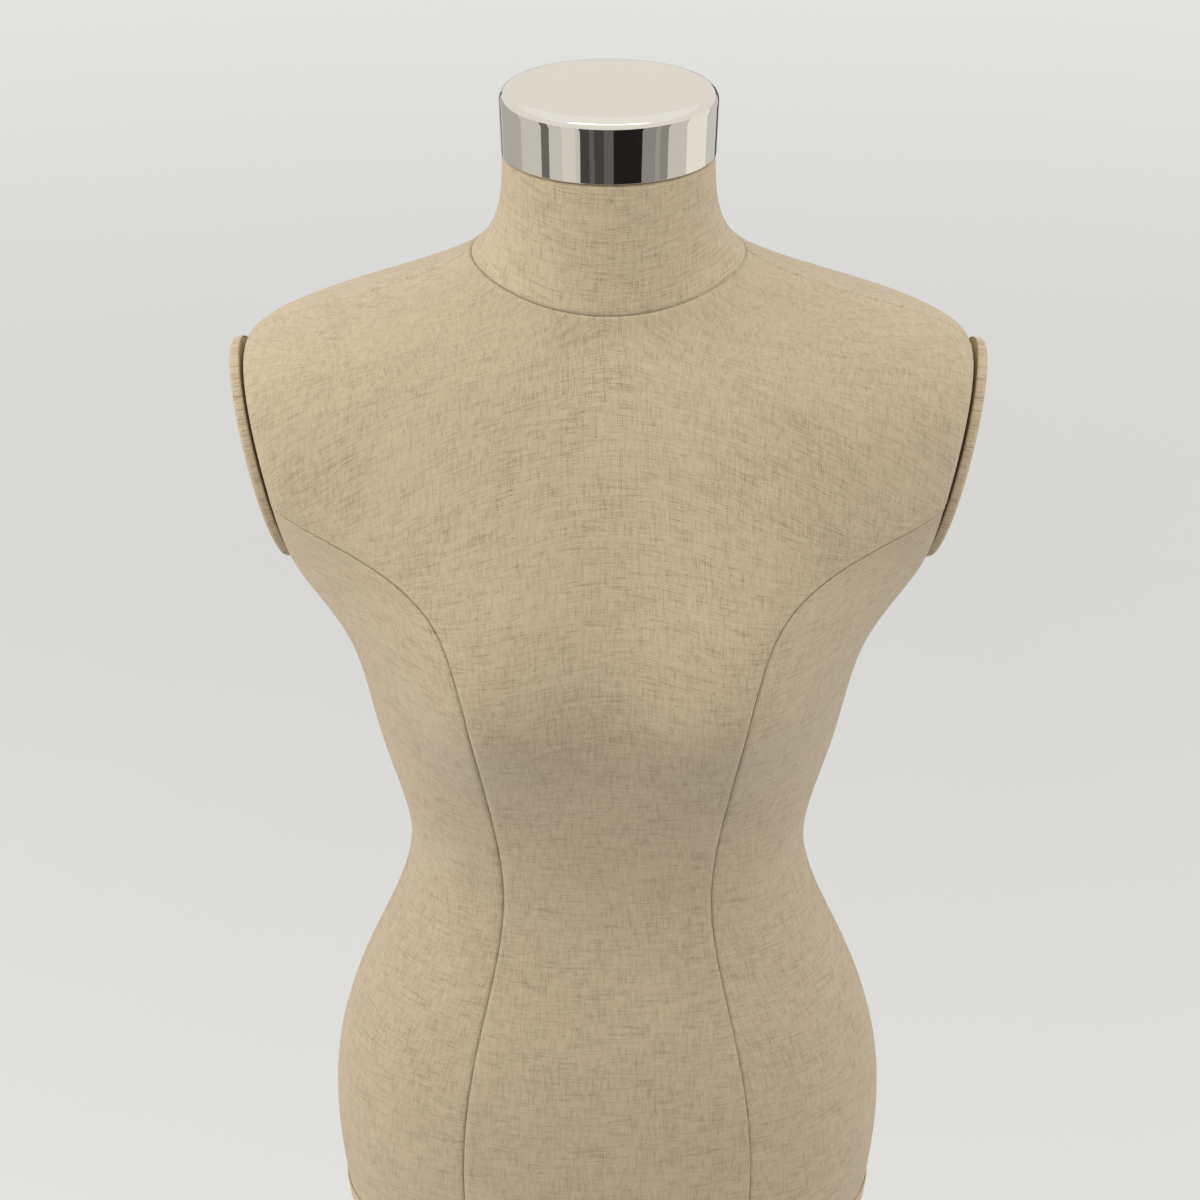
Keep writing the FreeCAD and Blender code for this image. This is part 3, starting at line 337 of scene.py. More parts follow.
def plywood(name, colour):
    """Birch plywood: long grain along X on the faces, and plies stacked along Z on the edges."""
    material, tree, shader = blank(name, Specular_IOR_Level=0.3)
    place = own_place(tree)
    axes = add_node(tree, "ShaderNodeSeparateXYZ", {0: place}).outputs
    bent = calc(tree, "MULTIPLY_ADD", noise(tree, place, 7, 2), 0.03, axes[1])
    grain = noise(tree, vector(tree, calc(tree, "MULTIPLY", axes[0], 9),
                               calc(tree, "MULTIPLY", bent, 260), 0.0), 1, 4, 0.6)
    plies = calc(tree, "PINGPONG", axes[2], 0.0012)
    plies = ramp(tree, calc(tree, "MULTIPLY", plies, 800), [(0.35, 0.72), (0.65, 1.0)])
    face = add_node(tree, "ShaderNodeNewGeometry").outputs["Normal"]
    upright = calc(tree, "ABSOLUTE", add_node(tree, "ShaderNodeSeparateXYZ", {0: face}).outputs[2])
    plies = between(tree, upright, plies, (1.0, 1.0, 1.0))
    tone = ramp(tree, grain, [(0.3, shade(colour, 0.72)), (0.6, colour), (0.8, shade(colour, 1.12))])
    tree.links.new(between(tree, 1.0, tone, plies, "MULTIPLY"), shader.inputs["Base Color"])
    tree.links.new(ramp(tree, grain, [(0.3, 0.72), (0.7, 0.58)]), shader.inputs["Roughness"])
    bump(tree, shader, grain, 0.00012, 0.5)
    return material


def finish(name):
    """The finish of that name, made the first time it is asked for."""
    if name in bpy.data.materials:
        return bpy.data.materials[name]
    sizes, colours = bpy.context.scene.dress_form_sizes, bpy.context.scene.dress_form_finishes
    pitch = sizes.thread_pitch
    makers = {
        "natural_linen": lambda: woven(name, colours.linen, colours.linen_dark, pitch, 0.55),
        "hem_tape": lambda: twill_tape(name, colours.tape, 0.0011),
        "sewing_thread": lambda: moulded(name, shade(colours.linen, 1.1), 0.75, 2500),
        "cap_chrome": lambda: polished(name, colours.chrome),
        "stand_chrome": lambda: polished(name, colours.chrome, 0.5),
        "zinc_plate": lambda: zinc(name),
        "black_nylon": lambda: moulded(name, (0.022, 0.022, 0.023), 0.42, 1800),
        "black_rubber": lambda: moulded(name, (0.016, 0.016, 0.016), 0.7, 900),
        "fibre_shell": lambda: fibre_shell(name),
        "birch_plywood": lambda: plywood(name, colours.wood),
    }
    return makers[name]()


# ------------------------------------------------------------------ surfaces


def grid_patch(points, uv=None):
    """A patch of four-sided faces between the rows and columns of an array of points.

    The faces look along (next column) x (next row). uv is an array of the same rows and columns.
    """
    rows, columns = points.shape[:2]
    number = np.arange(rows * columns).reshape(rows, columns)
    quads = np.stack([number[:-1, :-1], number[:-1, 1:], number[1:, 1:], number[1:, :-1]], -1)
    uv = np.zeros((rows, columns, 2)) if uv is None else uv
    return points.reshape(-1, 3), quads.reshape(-1, 4), uv.reshape(-1, 2)


def rounded(corners, steps=7):
    """A profile through corners (radius, height, rounding), each rounded by an arc.

    An arc runs between the points where its circle touches both sides. A point just
    outside each arc keeps the flats flat.
    """
    made = []
    last = len(corners) - 1
    for k, (r, z, rounding) in enumerate(corners):
        here = np.array([r, z])
        if rounding <= 0 or k in (0, last):
            made.append(here[None])
            continue
        back, on = np.array(corners[k - 1][:2]) - here, np.array(corners[k + 1][:2]) - here
        back, on = back / np.linalg.norm(back), on / np.linalg.norm(on)
        half = math.acos(float(np.clip(back @ on, -1, 1))) / 2
        centre = here + (back + on) / np.linalg.norm(back + on) * rounding / math.sin(half)
        touch = rounding / math.tan(half)
        first, final = here + back * touch - centre, here + on * touch - centre
        turn = math.atan2(first[0] * final[1] - first[1] * final[0], first @ final)
        angles = turn * np.linspace(0, 1, steps + 1)
        arc = np.stack([np.cos(angles) * first[0] - np.sin(angles) * first[1],
                        np.sin(angles) * first[0] + np.cos(angles) * first[1]], -1) + centre
        rest = rounding * abs(turn) / steps * 0.5
        made += [here[None] + back * (touch + rest), arc, here[None] + on * (touch + rest)]
    return np.vstack(made)


def turned_patch(profile, segments, centre=(0, 0, 0), axis="Z", flutes=None):
    """A profile of (radius, height) pairs carried round an axis.

    The point at angle t is (radius cos t, radius sin t, height). flutes is (count, depth, low,
    high): between those heights the radius falls by depth |sin(count t / 2)| to the sixth power.
    """
    angle = np.linspace(0, 2 * math.pi, segments + 1)
    radius_at = np.repeat(profile[:, :1], segments + 1, 1)
    if flutes:
        count, depth, bottom, top = flutes
        cut = depth * np.abs(np.sin(count * angle / 2)) ** 6
        inside = ((profile[:, 1] > bottom) & (profile[:, 1] < top))[:, None]
        radius_at = radius_at - np.where(inside, cut[None], 0)
    height = np.repeat(profile[:, 1:], segments + 1, 1)
    points = np.stack([radius_at * np.cos(angle), radius_at * np.sin(angle), height], -1)
    if axis == "Y":
        points = points[..., [0, 2, 1]] * np.array([-1, 1, 1])
    return grid_patch(points + np.array(centre))


def make_piece(name, patches, material, body, replaces=(), smooth=50, closed=True):
    """Joins patches into one object, merges their doubles and gives it its finish and its body."""
    offsets = np.cumsum([0] + [len(p[0]) for p in patches[:-1]])
    points = np.vstack([p[0] for p in patches])
    quads = np.vstack([p[1] + offset for p, offset in zip(patches, offsets)])
    uv = np.vstack([p[2] for p in patches])
    mesh = bpy.data.meshes.new(name)
    mesh.from_pydata(points, [], quads)
    layer = mesh.uv_layers.new(name="cloth")
    layer.data.foreach_set("uv", uv[quads.ravel()].ravel())
    work = bmesh.new()
    work.from_mesh(mesh)
    bmesh.ops.remove_doubles(work, verts=work.verts, dist=2e-7)
    if closed:
        bmesh.ops.recalc_face_normals(work, faces=work.faces)
    work.to_mesh(mesh)
    work.free()
    mesh.shade_smooth()
    mesh.set_sharp_from_angle(angle=math.radians(smooth))
    mesh.materials.append(finish(material))
    piece = bpy.data.objects.new(name, mesh)
    bpy.context.scene.collection.objects.link(piece)
    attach(piece, body)
    if replaces:
        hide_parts(*replaces)
    return piece


def refinish(material, *nodes):
    """Gives CAD nodes that keep their shape a better material."""
    for name in nodes:
        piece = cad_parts[name]
        if not piece.material_slots:
            piece.data.materials.append(finish(material))
        for place in piece.material_slots:
            place.material = finish(material)


# ------------------------------------------------------------------ the body's shape

# Rings of the body from hem to neck, in millimetres: height above the hem at the side, at
# the front and at the back, half width, depth to the front, depth to the back, squareness.
RINGS = np.array([
    (0, 0, 0, 160, 98, 112, 2.15),
    (85, 85, 85, 165, 104, 114, 2.15),
    (168, 168, 168, 145, 99, 96, 2.15),
    (255, 255, 255, 114, 84, 72, 2.2),
    (335, 338, 335, 129, 98, 88, 2.2),
    (405, 410, 410, 147, 104, 97, 2.2),
    (448, 472, 465, 180, 99, 98, 2.25),
    (508, 520, 518, 206, 90, 96, 2.3),
    (560, 552, 562, 197, 80, 86, 2.25),
    (588, 577, 594, 134, 69, 72, 2.1),
    (614, 600, 620, 72, 60, 59, 2.0),
    (638, 633, 641, 57.2, 56.6, 56.8, 2.0),
    (666.6, 666.6, 666.6, 54.7, 54.7, 54.7, 2.0),
])
NECK_BASE = 10
ARM_X, ARM_Y, ARM_Z, ARM_LEAN, ARM_ROUND, ARM_LOW, ARM_FLARE = 182, 4, 500, 0.2, 7, 432, 1.2
ARM_HALF_WIDTH, ARM_HALF_HEIGHT = 43, 62
# Mounds: middle and spread across, middle and spread up, and how far out.
BUST_X, BUST_SPREAD, BUST_Z, BUST_ABOVE, BUST_BELOW, BUST_RISE = 78, 62, 402, 82, 52, 38
BLADE_X, BLADE_SPREAD, BLADE_Z, BLADE_TALL, BLADE_RISE = 72, 55, 480, 55, 9
SEAT_X, SEAT_SPREAD, SEAT_Z, SEAT_TALL, SEAT_RISE = 66, 62, 75, 62, 10
# Princess seams: angle from the side in degrees, the places where they leave it and end, how
# softly they end, and the angle below which the seam is hidden at the arm.
SEAM_ANGLE, SEAM_LEAVES, SEAM_ENDS, SEAM_SOFT, SEAM_HIDDEN = 60, 432, 528, 5, 14


def arm_plane(z):
    """How far out the arm plane stands at a height: it leans out with height, and below
    its end it moves outward, out of the body's way."""
    under = ARM_LOW - z
    under = (under + np.hypot(under, ARM_ROUND)) / 2
    return ARM_X + ARM_LEAN * (z - ARM_Z) + ARM_FLARE * under


class BodyShape:
    """The cover's outer face as a function of the angle t round the body and the place v up it.

    Each ring is an ellipse with its own half width and front and back depths, pushed towards
    a rectangle by its squareness n: the push is (|cos t|^n + |sin t|^n)^(-1/n). Natural cubics
    through the rings run along v. Bust, shoulder blades and seat are bell-shaped mounds along Y.
    At each arm x becomes (hypot(x + p, r) - hypot(x - p, r)) / 2, a soft stop at the plane p.
    """

    def __init__(self):
        side = np.hypot(*np.diff(RINGS[:, [0, 3]], axis=0).T)
        front = np.hypot(*np.diff(RINGS[:, [1, 4]], axis=0).T)
        self.knots = np.concatenate([[0], np.cumsum((side + front) / 2)])
        gaps = np.diff(self.knots)
        slopes = np.diff(RINGS, axis=0) / gaps[:, None]
        system = np.eye(len(self.knots))
        right = np.zeros_like(RINGS)
        for k in range(1, len(gaps)):
            system[k, k - 1:k + 2] = gaps[k - 1], 2 * (gaps[k - 1] + gaps[k]), gaps[k]
            right[k] = 6 * (slopes[k] - slopes[k - 1])
        self.bends = np.linalg.solve(system, right)
        self.neck_base, self.top = self.knots[NECK_BASE], self.knots[-1]

    def rings(self, v):
        """Every column of the ring table at the places v."""
        k = np.clip(np.searchsorted(self.knots, v, side="right") - 1, 0, len(self.knots) - 2)
        gap = self.knots[k + 1] - self.knots[k]
        a, b = (self.knots[k + 1] - v) / gap, (v - self.knots[k]) / gap
        a, b, gap = a[..., None], b[..., None], gap[..., None]
        bend = (a ** 3 - a) * self.bends[k] + (b ** 3 - b) * self.bends[k + 1]
        return np.moveaxis(a * RINGS[k] + b * RINGS[k + 1] + bend * gap ** 2 / 6, -1, 0)

    def point(self, t, v):
        """Points in millimetres, with the hem at height 0."""
        t, v = np.broadcast_arrays(np.asarray(t, float), np.asarray(v, float))
        side_z, front_z, back_z, half, front, back, square = self.rings(v)
        c, s = np.cos(t), np.sin(t)
        push = (np.abs(c) ** square + np.abs(s) ** square) ** (-1 / square)
        ahead = s < 0
        x = half * c * push
        y = np.where(ahead, front, back) * s * push
        z = side_z + (np.where(ahead, front_z, back_z) - side_z) * s * s
        above = z - BUST_Z
        reach = np.where(above > 0, BUST_ABOVE, BUST_BELOW)
        bust = self.pair(x, BUST_X, BUST_SPREAD, above / reach, BUST_RISE)
        rear = (self.pair(x, BLADE_X, BLADE_SPREAD, (z - BLADE_Z) / BLADE_TALL, BLADE_RISE)
                + self.pair(x, SEAT_X, SEAT_SPREAD, (z - SEAT_Z) / SEAT_TALL, SEAT_RISE))
        y = y + s * np.where(ahead, bust, rear)
        plane = arm_plane(z)
        x = (np.hypot(x + plane, ARM_ROUND) - np.hypot(x - plane, ARM_ROUND)) / 2
        return np.stack([x, y, z], -1)

    @staticmethod
    def pair(x, middle, spread, height, rise):
        """Two mounds exp(-across^2 - height^2), one on each side of the middle."""
        left, right = (x - middle) / spread, (x + middle) / spread
        return rise * (np.exp(-left ** 2 - height ** 2) + np.exp(-right ** 2 - height ** 2))

    def normal(self, t, v):
        """The outward unit vector: (step round the body) x (step up it)."""
        t, v = np.broadcast_arrays(np.asarray(t, float), np.asarray(v, float))
        up = np.minimum(v + 0.5, self.top)
        along = self.point(t, up) - self.point(t, up - 1.0)
        around = self.point(t + TURN_STEP, v) - self.point(t - TURN_STEP, v)
        out = np.cross(around, along)
        return out / np.linalg.norm(out, axis=-1, keepdims=True)


BODY = BodyShape()


def seam_angle(v):
    """The princess seam's angle from the side: constant to the bust, then falling as one less
    the cube of the share of the way to the arm, with a soft end in the shoulder seam."""
    share = np.maximum(0, (v - SEAM_LEAVES) / (SEAM_ENDS - SEAM_LEAVES))
    left = math.radians(SEAM_ANGLE) * (1 - share ** 3)
    return (left + np.hypot(left, math.radians(SEAM_SOFT))) / 2


def ripple(x, y, seed):
    """A smooth, fixed, irregular wave between about -1 and 1: a sum of five slanted sines."""
    total = 0
    for k in range(5):
        turn = seed * 1.7 + k * 2.399
        stretch = 0.7 + 0.19 * k
        total = total + np.sin(stretch * (x * np.cos(turn) + y * np.sin(turn)) + seed * 5.1 + k * k)
    return total / 5 * 1.6


def columns_for(length, step):
    """Shares of a row's width: close together near both edges, where the seams dip."""
    edge = np.array([0, 0.25, 0.5, 0.8, 1.2, 1.7, 2.4, 3.4, 4.8, 6.6])
    count = max(4, int(round((length - 2 * edge[-1]) / step)))
    return edge, np.linspace(0, 1, count + 1)[1:-1]


def cover_grid(left, right, places, dip_top=True, dip_bottom=False, seed=1.0):
    """A cover panel's points, its UVs, and the length of each column.

    It lies between two seam lines, given as angles for each place up the body.

    The surface is the body's shape less a dip of seam depth times exp(-d / seam width) at
    a distance d from a seam, plus a low ridge over the seam allowance, small puckers that die
    away over 9 mm, and a very shallow unevenness. UVs are distances along the cloth in metres.
    """
    sizes = bpy.context.scene.dress_form_sizes
    step = sizes.grid_step / MM
    a, b = left(places), right(places)
    shares = np.linspace(0, 1, 33)
    trial = BODY.point(a[:, None] + (b - a)[:, None] * shares, places[:, None])
    walked = walk(trial, 1)
    length = np.linalg.norm(np.diff(trial, axis=1), axis=-1).sum(1)
    edge, inner = columns_for(length.max(), step)
    inner = edge[-1] + (length[:, None] - 2 * edge[-1]) * inner
    far = length[:, None] - edge[::-1]
    across = np.hstack([np.repeat(edge[None], len(places), 0), inner, far])
    share = np.stack([np.interp(d, w, shares) for d, w in zip(across, walked)])
    t, v = a[:, None] + (b - a)[:, None] * share, np.repeat(places[:, None], across.shape[1], 1)
    points, out = BODY.point(t, v), BODY.normal(t, v)
    middle = np.abs(share - 0.5).argmin(1)
    climb = walk(points[np.arange(len(places)), middle])

    gap = np.minimum(across, length[:, None] - across)
    ends = np.full(len(places), FAR_OFF)
    if dip_top:
        ends = np.minimum(ends, climb[-1] - climb)
    if dip_bottom:
        ends = np.minimum(ends, climb)
    near = np.minimum(gap, ends[:, None])
    depth, width = sizes.seam_depth / MM, sizes.seam_width / MM
    dip = depth * np.exp(-near / width)
    ridge = 0.16 * np.exp(-((near - 3.2) / 2.6) ** 4)
    u = across - length[:, None] / 2
    climb = walk(points)
    pucker = sizes.seam_pucker / MM * ripple(climb * 0.8, gap * 0.12, seed) * np.exp(-gap / 9)
    uneven = 0.14 * ripple(u / 26, climb / 34, seed + 3)
    points = points + out * (ridge + pucker + uneven - 0.15 - dip)[..., None]
    return points, np.stack([u, climb], -1) * MM, climb[-1]


def placed(points):
    """Millimetres above the hem to metres above the floor."""
    return points * MM + np.array([0, 0, HEM])


def spread(start, end, step):
    """Places from start to end, about a step apart."""
    return np.linspace(start, end, max(3, int(round((end - start) / step))) + 1)


def walk(points, axis=0):
    """The distance walked along an axis of an array of points, from 0 at its start."""
    walked = np.cumsum(np.linalg.norm(np.diff(points, axis=axis), axis=-1), axis=axis)
    return np.concatenate([np.zeros_like(np.take(walked, [0], axis=axis)), walked], axis=axis)


def flat_size(piece, points):
    """The width, length and area of a cloth piece before it was stretched, in metres."""
    width = np.linalg.norm(np.diff(points, axis=1), axis=-1).sum(1).max()
    length = np.linalg.norm(np.diff(points, axis=0), axis=-1).sum(0).max()
    faces = np.empty(len(piece.data.polygons))
    piece.data.polygons.foreach_get("area", faces)
    return (round(float(width), 3), round(float(length), 3)), round(float(faces.sum()), 4)


def thicken(piece, thickness):
    """Gives a cloth its thickness inward, as a Solidify modifier."""
    wall = piece.modifiers.new("thickness", "SOLIDIFY")
    wall.thickness, wall.offset = thickness, -1.0


def stretched(piece, thickness):
    """Thickens a cloth piece inward."""
    thicken(piece, thickness)


# ------------------------------------------------------------------ operators


class PieceOperator:
    """What every operator of the dress form shares."""

    bl_options = {"REGISTER", "UNDO"}

    @property
    def sizes(self):
        """The sizes set in the panel."""
        return bpy.context.scene.dress_form_sizes


class DRESSFORM_OT_neck_cap(PieceOperator, bpy.types.Operator):
    """Chromed neck cap: a drum that narrows slightly to its foot, with a rounded top rim"""

    bl_idname = "dressform.neck_cap"
    bl_label = "Neck cap"

    def execute(self, context):
        foot, top, wide = turned_size("neck_cap_shell")
        core = radius("neck_cap_core")
        narrow, wall, rim = wide - 1.0 * MM, 1.2 * MM, 6.0 * MM
        profile = rounded([
            (core + FIT, foot + 2 * MM, 0),
            (narrow - wall + 0.1 * MM, foot, 0.3 * MM),
            (narrow, foot, 0.45 * MM),
            (wide, top, rim),
            (0.0, top, 0),
        ], steps=18)
        # The closed inner side lies just inside the wall.
        inner = rounded([
            (0.0, top - wall, 0),
            (wide - wall, top - wall, rim - wall),
            (core + FIT, foot + 2 * MM, 0),
        ], steps=8)
        patch = turned_patch(np.vstack([inner, profile]), 2 * self.sizes.round_segments)
        make_piece("neck_cap_drum", [patch], "cap_chrome", "neck_cap",
                   ["neck_cap_shell"], smooth=60)

        pin_low, pin_top, pin = turned_size("neck_cap_pin")
        profile = rounded([
            (0.0, pin_low, 0), (pin - 2 * MM, pin_low, 0.5 * MM), (pin, pin_low + 3 * MM, 0.8 * MM),
            (pin, pin_top, 0), (0.0, pin_top, 0),
        ], steps=4)
        make_piece("neck_cap_spigot", [turned_patch(profile, 48)], "zinc_plate", "neck_cap",
                   ["neck_cap_pin"])
        refinish("birch_plywood", "neck_cap_core")
        return {"FINISHED"}


class DRESSFORM_OT_cover(PieceOperator, bpy.types.Operator):
    """Linen cover: seven sewn body panels with princess seams, and the neck band"""

    bl_idname = "dressform.cover"
    bl_label = "Linen cover"

    def panel(self, name, left, right, places, seed):
        """One body panel, which has to lie where its CAD node does to within its bound."""
        bound = 1.5 * MM
        points, uv, _ = cover_grid(left, right, places, seed=seed)
        points = placed(points)
        piece = make_piece(name + "_cloth", [grid_patch(points, uv)], "natural_linen", "torso",
                           [name], smooth=180, closed=False)
        flat_points = points.reshape(-1, 3)
        reach = max(np.abs(flat_points.min(0) - low(name)).max(),
                    np.abs(flat_points.max(0) - high(name)).max())
        if reach > bound:
            raise RuntimeError("%s isn't where its CAD node is: %.4f m off" % (name, reach))
        flat, area = flat_size(piece, points)
        stretched(piece, self.sizes.linen_thickness)

    def execute(self, context):
        turn, gap = math.pi, 0.08
        stop = SEAM_ENDS
        while seam_angle(stop) < math.radians(SEAM_HIDDEN):
            stop -= 0.5
        step = self.sizes.grid_step / MM
        top = BODY.neck_base
        below = np.concatenate([spread(0, SEAM_LEAVES, step)[:-1], spread(SEAM_LEAVES, stop, step * 0.7)])
        past = np.concatenate([spread(stop, stop + 24, step * 0.7)[1:],
                               spread(stop + 24, top - 6, step)[1:]])
        top_edge = top - np.array([5, 4, 3, 2.2, 1.5, 0.9, 0.4, 0])
        whole = np.concatenate([below, past, top_edge])

        def seam(side, towards):
            """A seam line, drawn back towards its panel by half the sewn gap."""
            def edge(v):
                t = side(v) + np.zeros_like(v)
                ahead, behind = BODY.point(t + TURN_STEP, v), BODY.point(t - TURN_STEP, v)
                return t + towards * gap * 2 * TURN_STEP / np.linalg.norm(ahead - behind, axis=-1)
            return edge

        princess = {
            "linen_front_centre": (lambda v: -turn + seam_angle(v), lambda v: -seam_angle(v), whole),
            "linen_front_left": (lambda v: -seam_angle(v), lambda v: 0.0, below),
            "linen_front_right": (lambda v: -turn, lambda v: -turn + seam_angle(v), below),
            "linen_back_left": (lambda v: 0.0, seam_angle, below),
            "linen_back_right": (lambda v: turn - seam_angle(v), lambda v: turn, below),
            "linen_back_centre_left": (seam_angle, lambda v: turn / 2, whole),
            "linen_back_centre_right": (lambda v: turn / 2, lambda v: turn - seam_angle(v), whole),
        }
        for seed, (name, (left, right, places)) in enumerate(princess.items(), start=1):
            self.panel(name, seam(left, 1), seam(right, -1), places, seed)
        self.neck_band(seam)
        refinish("fibre_shell", "torso_shell_front", "torso_shell_back")
        return {"FINISHED"}

    def neck_band(self, seam):
        """The neck band: the body's shape up to the neck's top, where the cloth turns over a
        quarter circle and lies flat on the neck block, in small pleats."""
        turn, over, sink, pleat_depth = math.pi, 2.4, 0.15, 0.10
        places = np.concatenate([
            BODY.neck_base + np.array([0, 0.4, 0.9, 1.5, 2.2, 3, 4, 5]),
            spread(BODY.neck_base + 6, BODY.top - over, 1.2)])
        left, right = seam(lambda v: turn / 2 - 2 * turn, 1), seam(lambda v: turn / 2, -1)
        points, uv, climb = cover_grid(left, right, places, dip_top=False, dip_bottom=True, seed=9)
        outer = points[-1]
        out = outer * np.array([1, 1, 0])
        out = out / np.linalg.norm(out, axis=-1, keepdims=True)
        around = uv[-1, :, 0] / MM
        lips, climbs = [], []
        for angle in np.linspace(0, math.pi / 2, 7)[1:]:
            pleat = pleat_depth * np.sin(angle) * ripple(around * 0.9, 0, 4)[:, None]
            lips.append(outer - out * (over * (1 - math.cos(angle)) - pleat)
                        + np.array([0, 0, (over - sink) * math.sin(angle)]))
            climbs.append(climb + over * angle)
        for inward in (2.5, 4.5, 7, 9):
            lips.append(lips[5] - out * inward + np.array([0, 0, -sink]))
            climbs.append(climbs[5] + inward)
        points = np.concatenate([points, np.array(lips)])
        more = np.stack([np.repeat(uv[-1:, :, 0], len(lips), 0), np.array(climbs) * MM], -1)
        uv = np.concatenate([uv, more])
        points = placed(points)
        piece = make_piece("linen_neck_cloth", [grid_patch(points, uv)], "natural_linen", "torso",
                           ["linen_neck"], smooth=180, closed=False)
        flat, area = flat_size(piece, points)
        stretched(piece,
                  self.sizes.linen_thickness)


class DRESSFORM_OT_hem_tape(PieceOperator, bpy.types.Operator):
    """Woven tape that binds the hem and turns in under the bottom board, with two rows of stitches"""

    bl_idname = "dressform.hem_tape"
    bl_label = "Hem tape"

    def execute(self, context):
        parting, thickness = 1e-3, 0.0005
        t = np.linspace(-1.5 * math.pi + parting, 0.5 * math.pi - parting, 421)
        # Each pair is how far up the cloth, and how far out of it, in millimetres.
        outside = np.array([(12.4, 0.05), (12.3, 0.6), (11.8, 0.85), (9, 0.9), (6, 0.92), (3, 0.9),
                            (1.2, 0.85), (0.5, 0.7)])
        # Then how far down from the hem, and how far in.
        inside = np.array([(0.35, -0.45), (0.75, 0.1), (0.9, 1.0), (0.9, 3.0), (0.88, 6.0),
                           (0.8, 8.6), (0.3, 8.8)])
        rows = []
        for up, out in outside[::-1]:
            uneven = 0.05 * ripple(t * 40, up / 4, 2)
            rows.append(BODY.point(t, up) + BODY.normal(t, up) * (out + uneven)[:, None])
        hem, level = BODY.point(t, 0.0), BODY.normal(t, 0.0) * np.array([1, 1, 0])
        for down, inward in inside:
            rows.insert(0, hem - level * inward - np.array([0, 0, down]))
        points = placed(np.array(rows))
        # One row gives the lengths along the tape, and one column those across it.
        uv = np.stack(np.broadcast_arrays(walk(points[3])[None], walk(points[:, 100])[:, None]), -1)
        piece = make_piece("hem_tape_woven", [grid_patch(points, uv)], "hem_tape", "torso",
                           ["hem_tape"], smooth=180, closed=False)
        flat, area = flat_size(piece, points)
        stretched(piece, thickness)
        self.stitches()
        return {"FINISHED"}

    def stitches(self):
        """Two rows of stitches: each is a bead whose thickness follows half a sine along it."""
        pitch = self.sizes.stitch_length / MM
        above_tape, filled, thinnest, bulge = 0.95, 0.72, 0.02, 0.26
        fine = np.linspace(0, 2 * math.pi, 2001)
        patches = []
        for up in (2.6, 10.4):
            ring = BODY.point(fine, up) + BODY.normal(fine, up) * above_tape
            walked = walk(ring)
            count = int(walked[-1] / pitch)
            middle = (np.arange(count) + 0.5) / count * walked[-1]
            along, around = np.linspace(-0.5, 0.5, 5), np.linspace(0, 2 * math.pi, 7)
            where = middle[:, None] + along * walked[-1] / count * filled
            line = np.stack([np.interp(where, walked, ring[:, k]) for k in range(3)], -1)
            ahead = np.gradient(line, axis=1)
            ahead /= np.linalg.norm(ahead, axis=-1, keepdims=True)
            rise = np.array([0, 0, 1.0]) - ahead * ahead[..., 2:]
            side = np.cross(ahead, rise)
            thick = thinnest + bulge * np.cos(along * math.pi)
            tube = (line[:, :, None] + thick[None, :, None, None] * (
                np.cos(around)[:, None] * rise[:, :, None] + np.sin(around)[:, None] * side[:, :, None]))
            for bead in tube:
                patches.append(grid_patch(placed(bead)))
        make_piece("hem_stitches", patches, "sewing_thread", "torso", smooth=180)


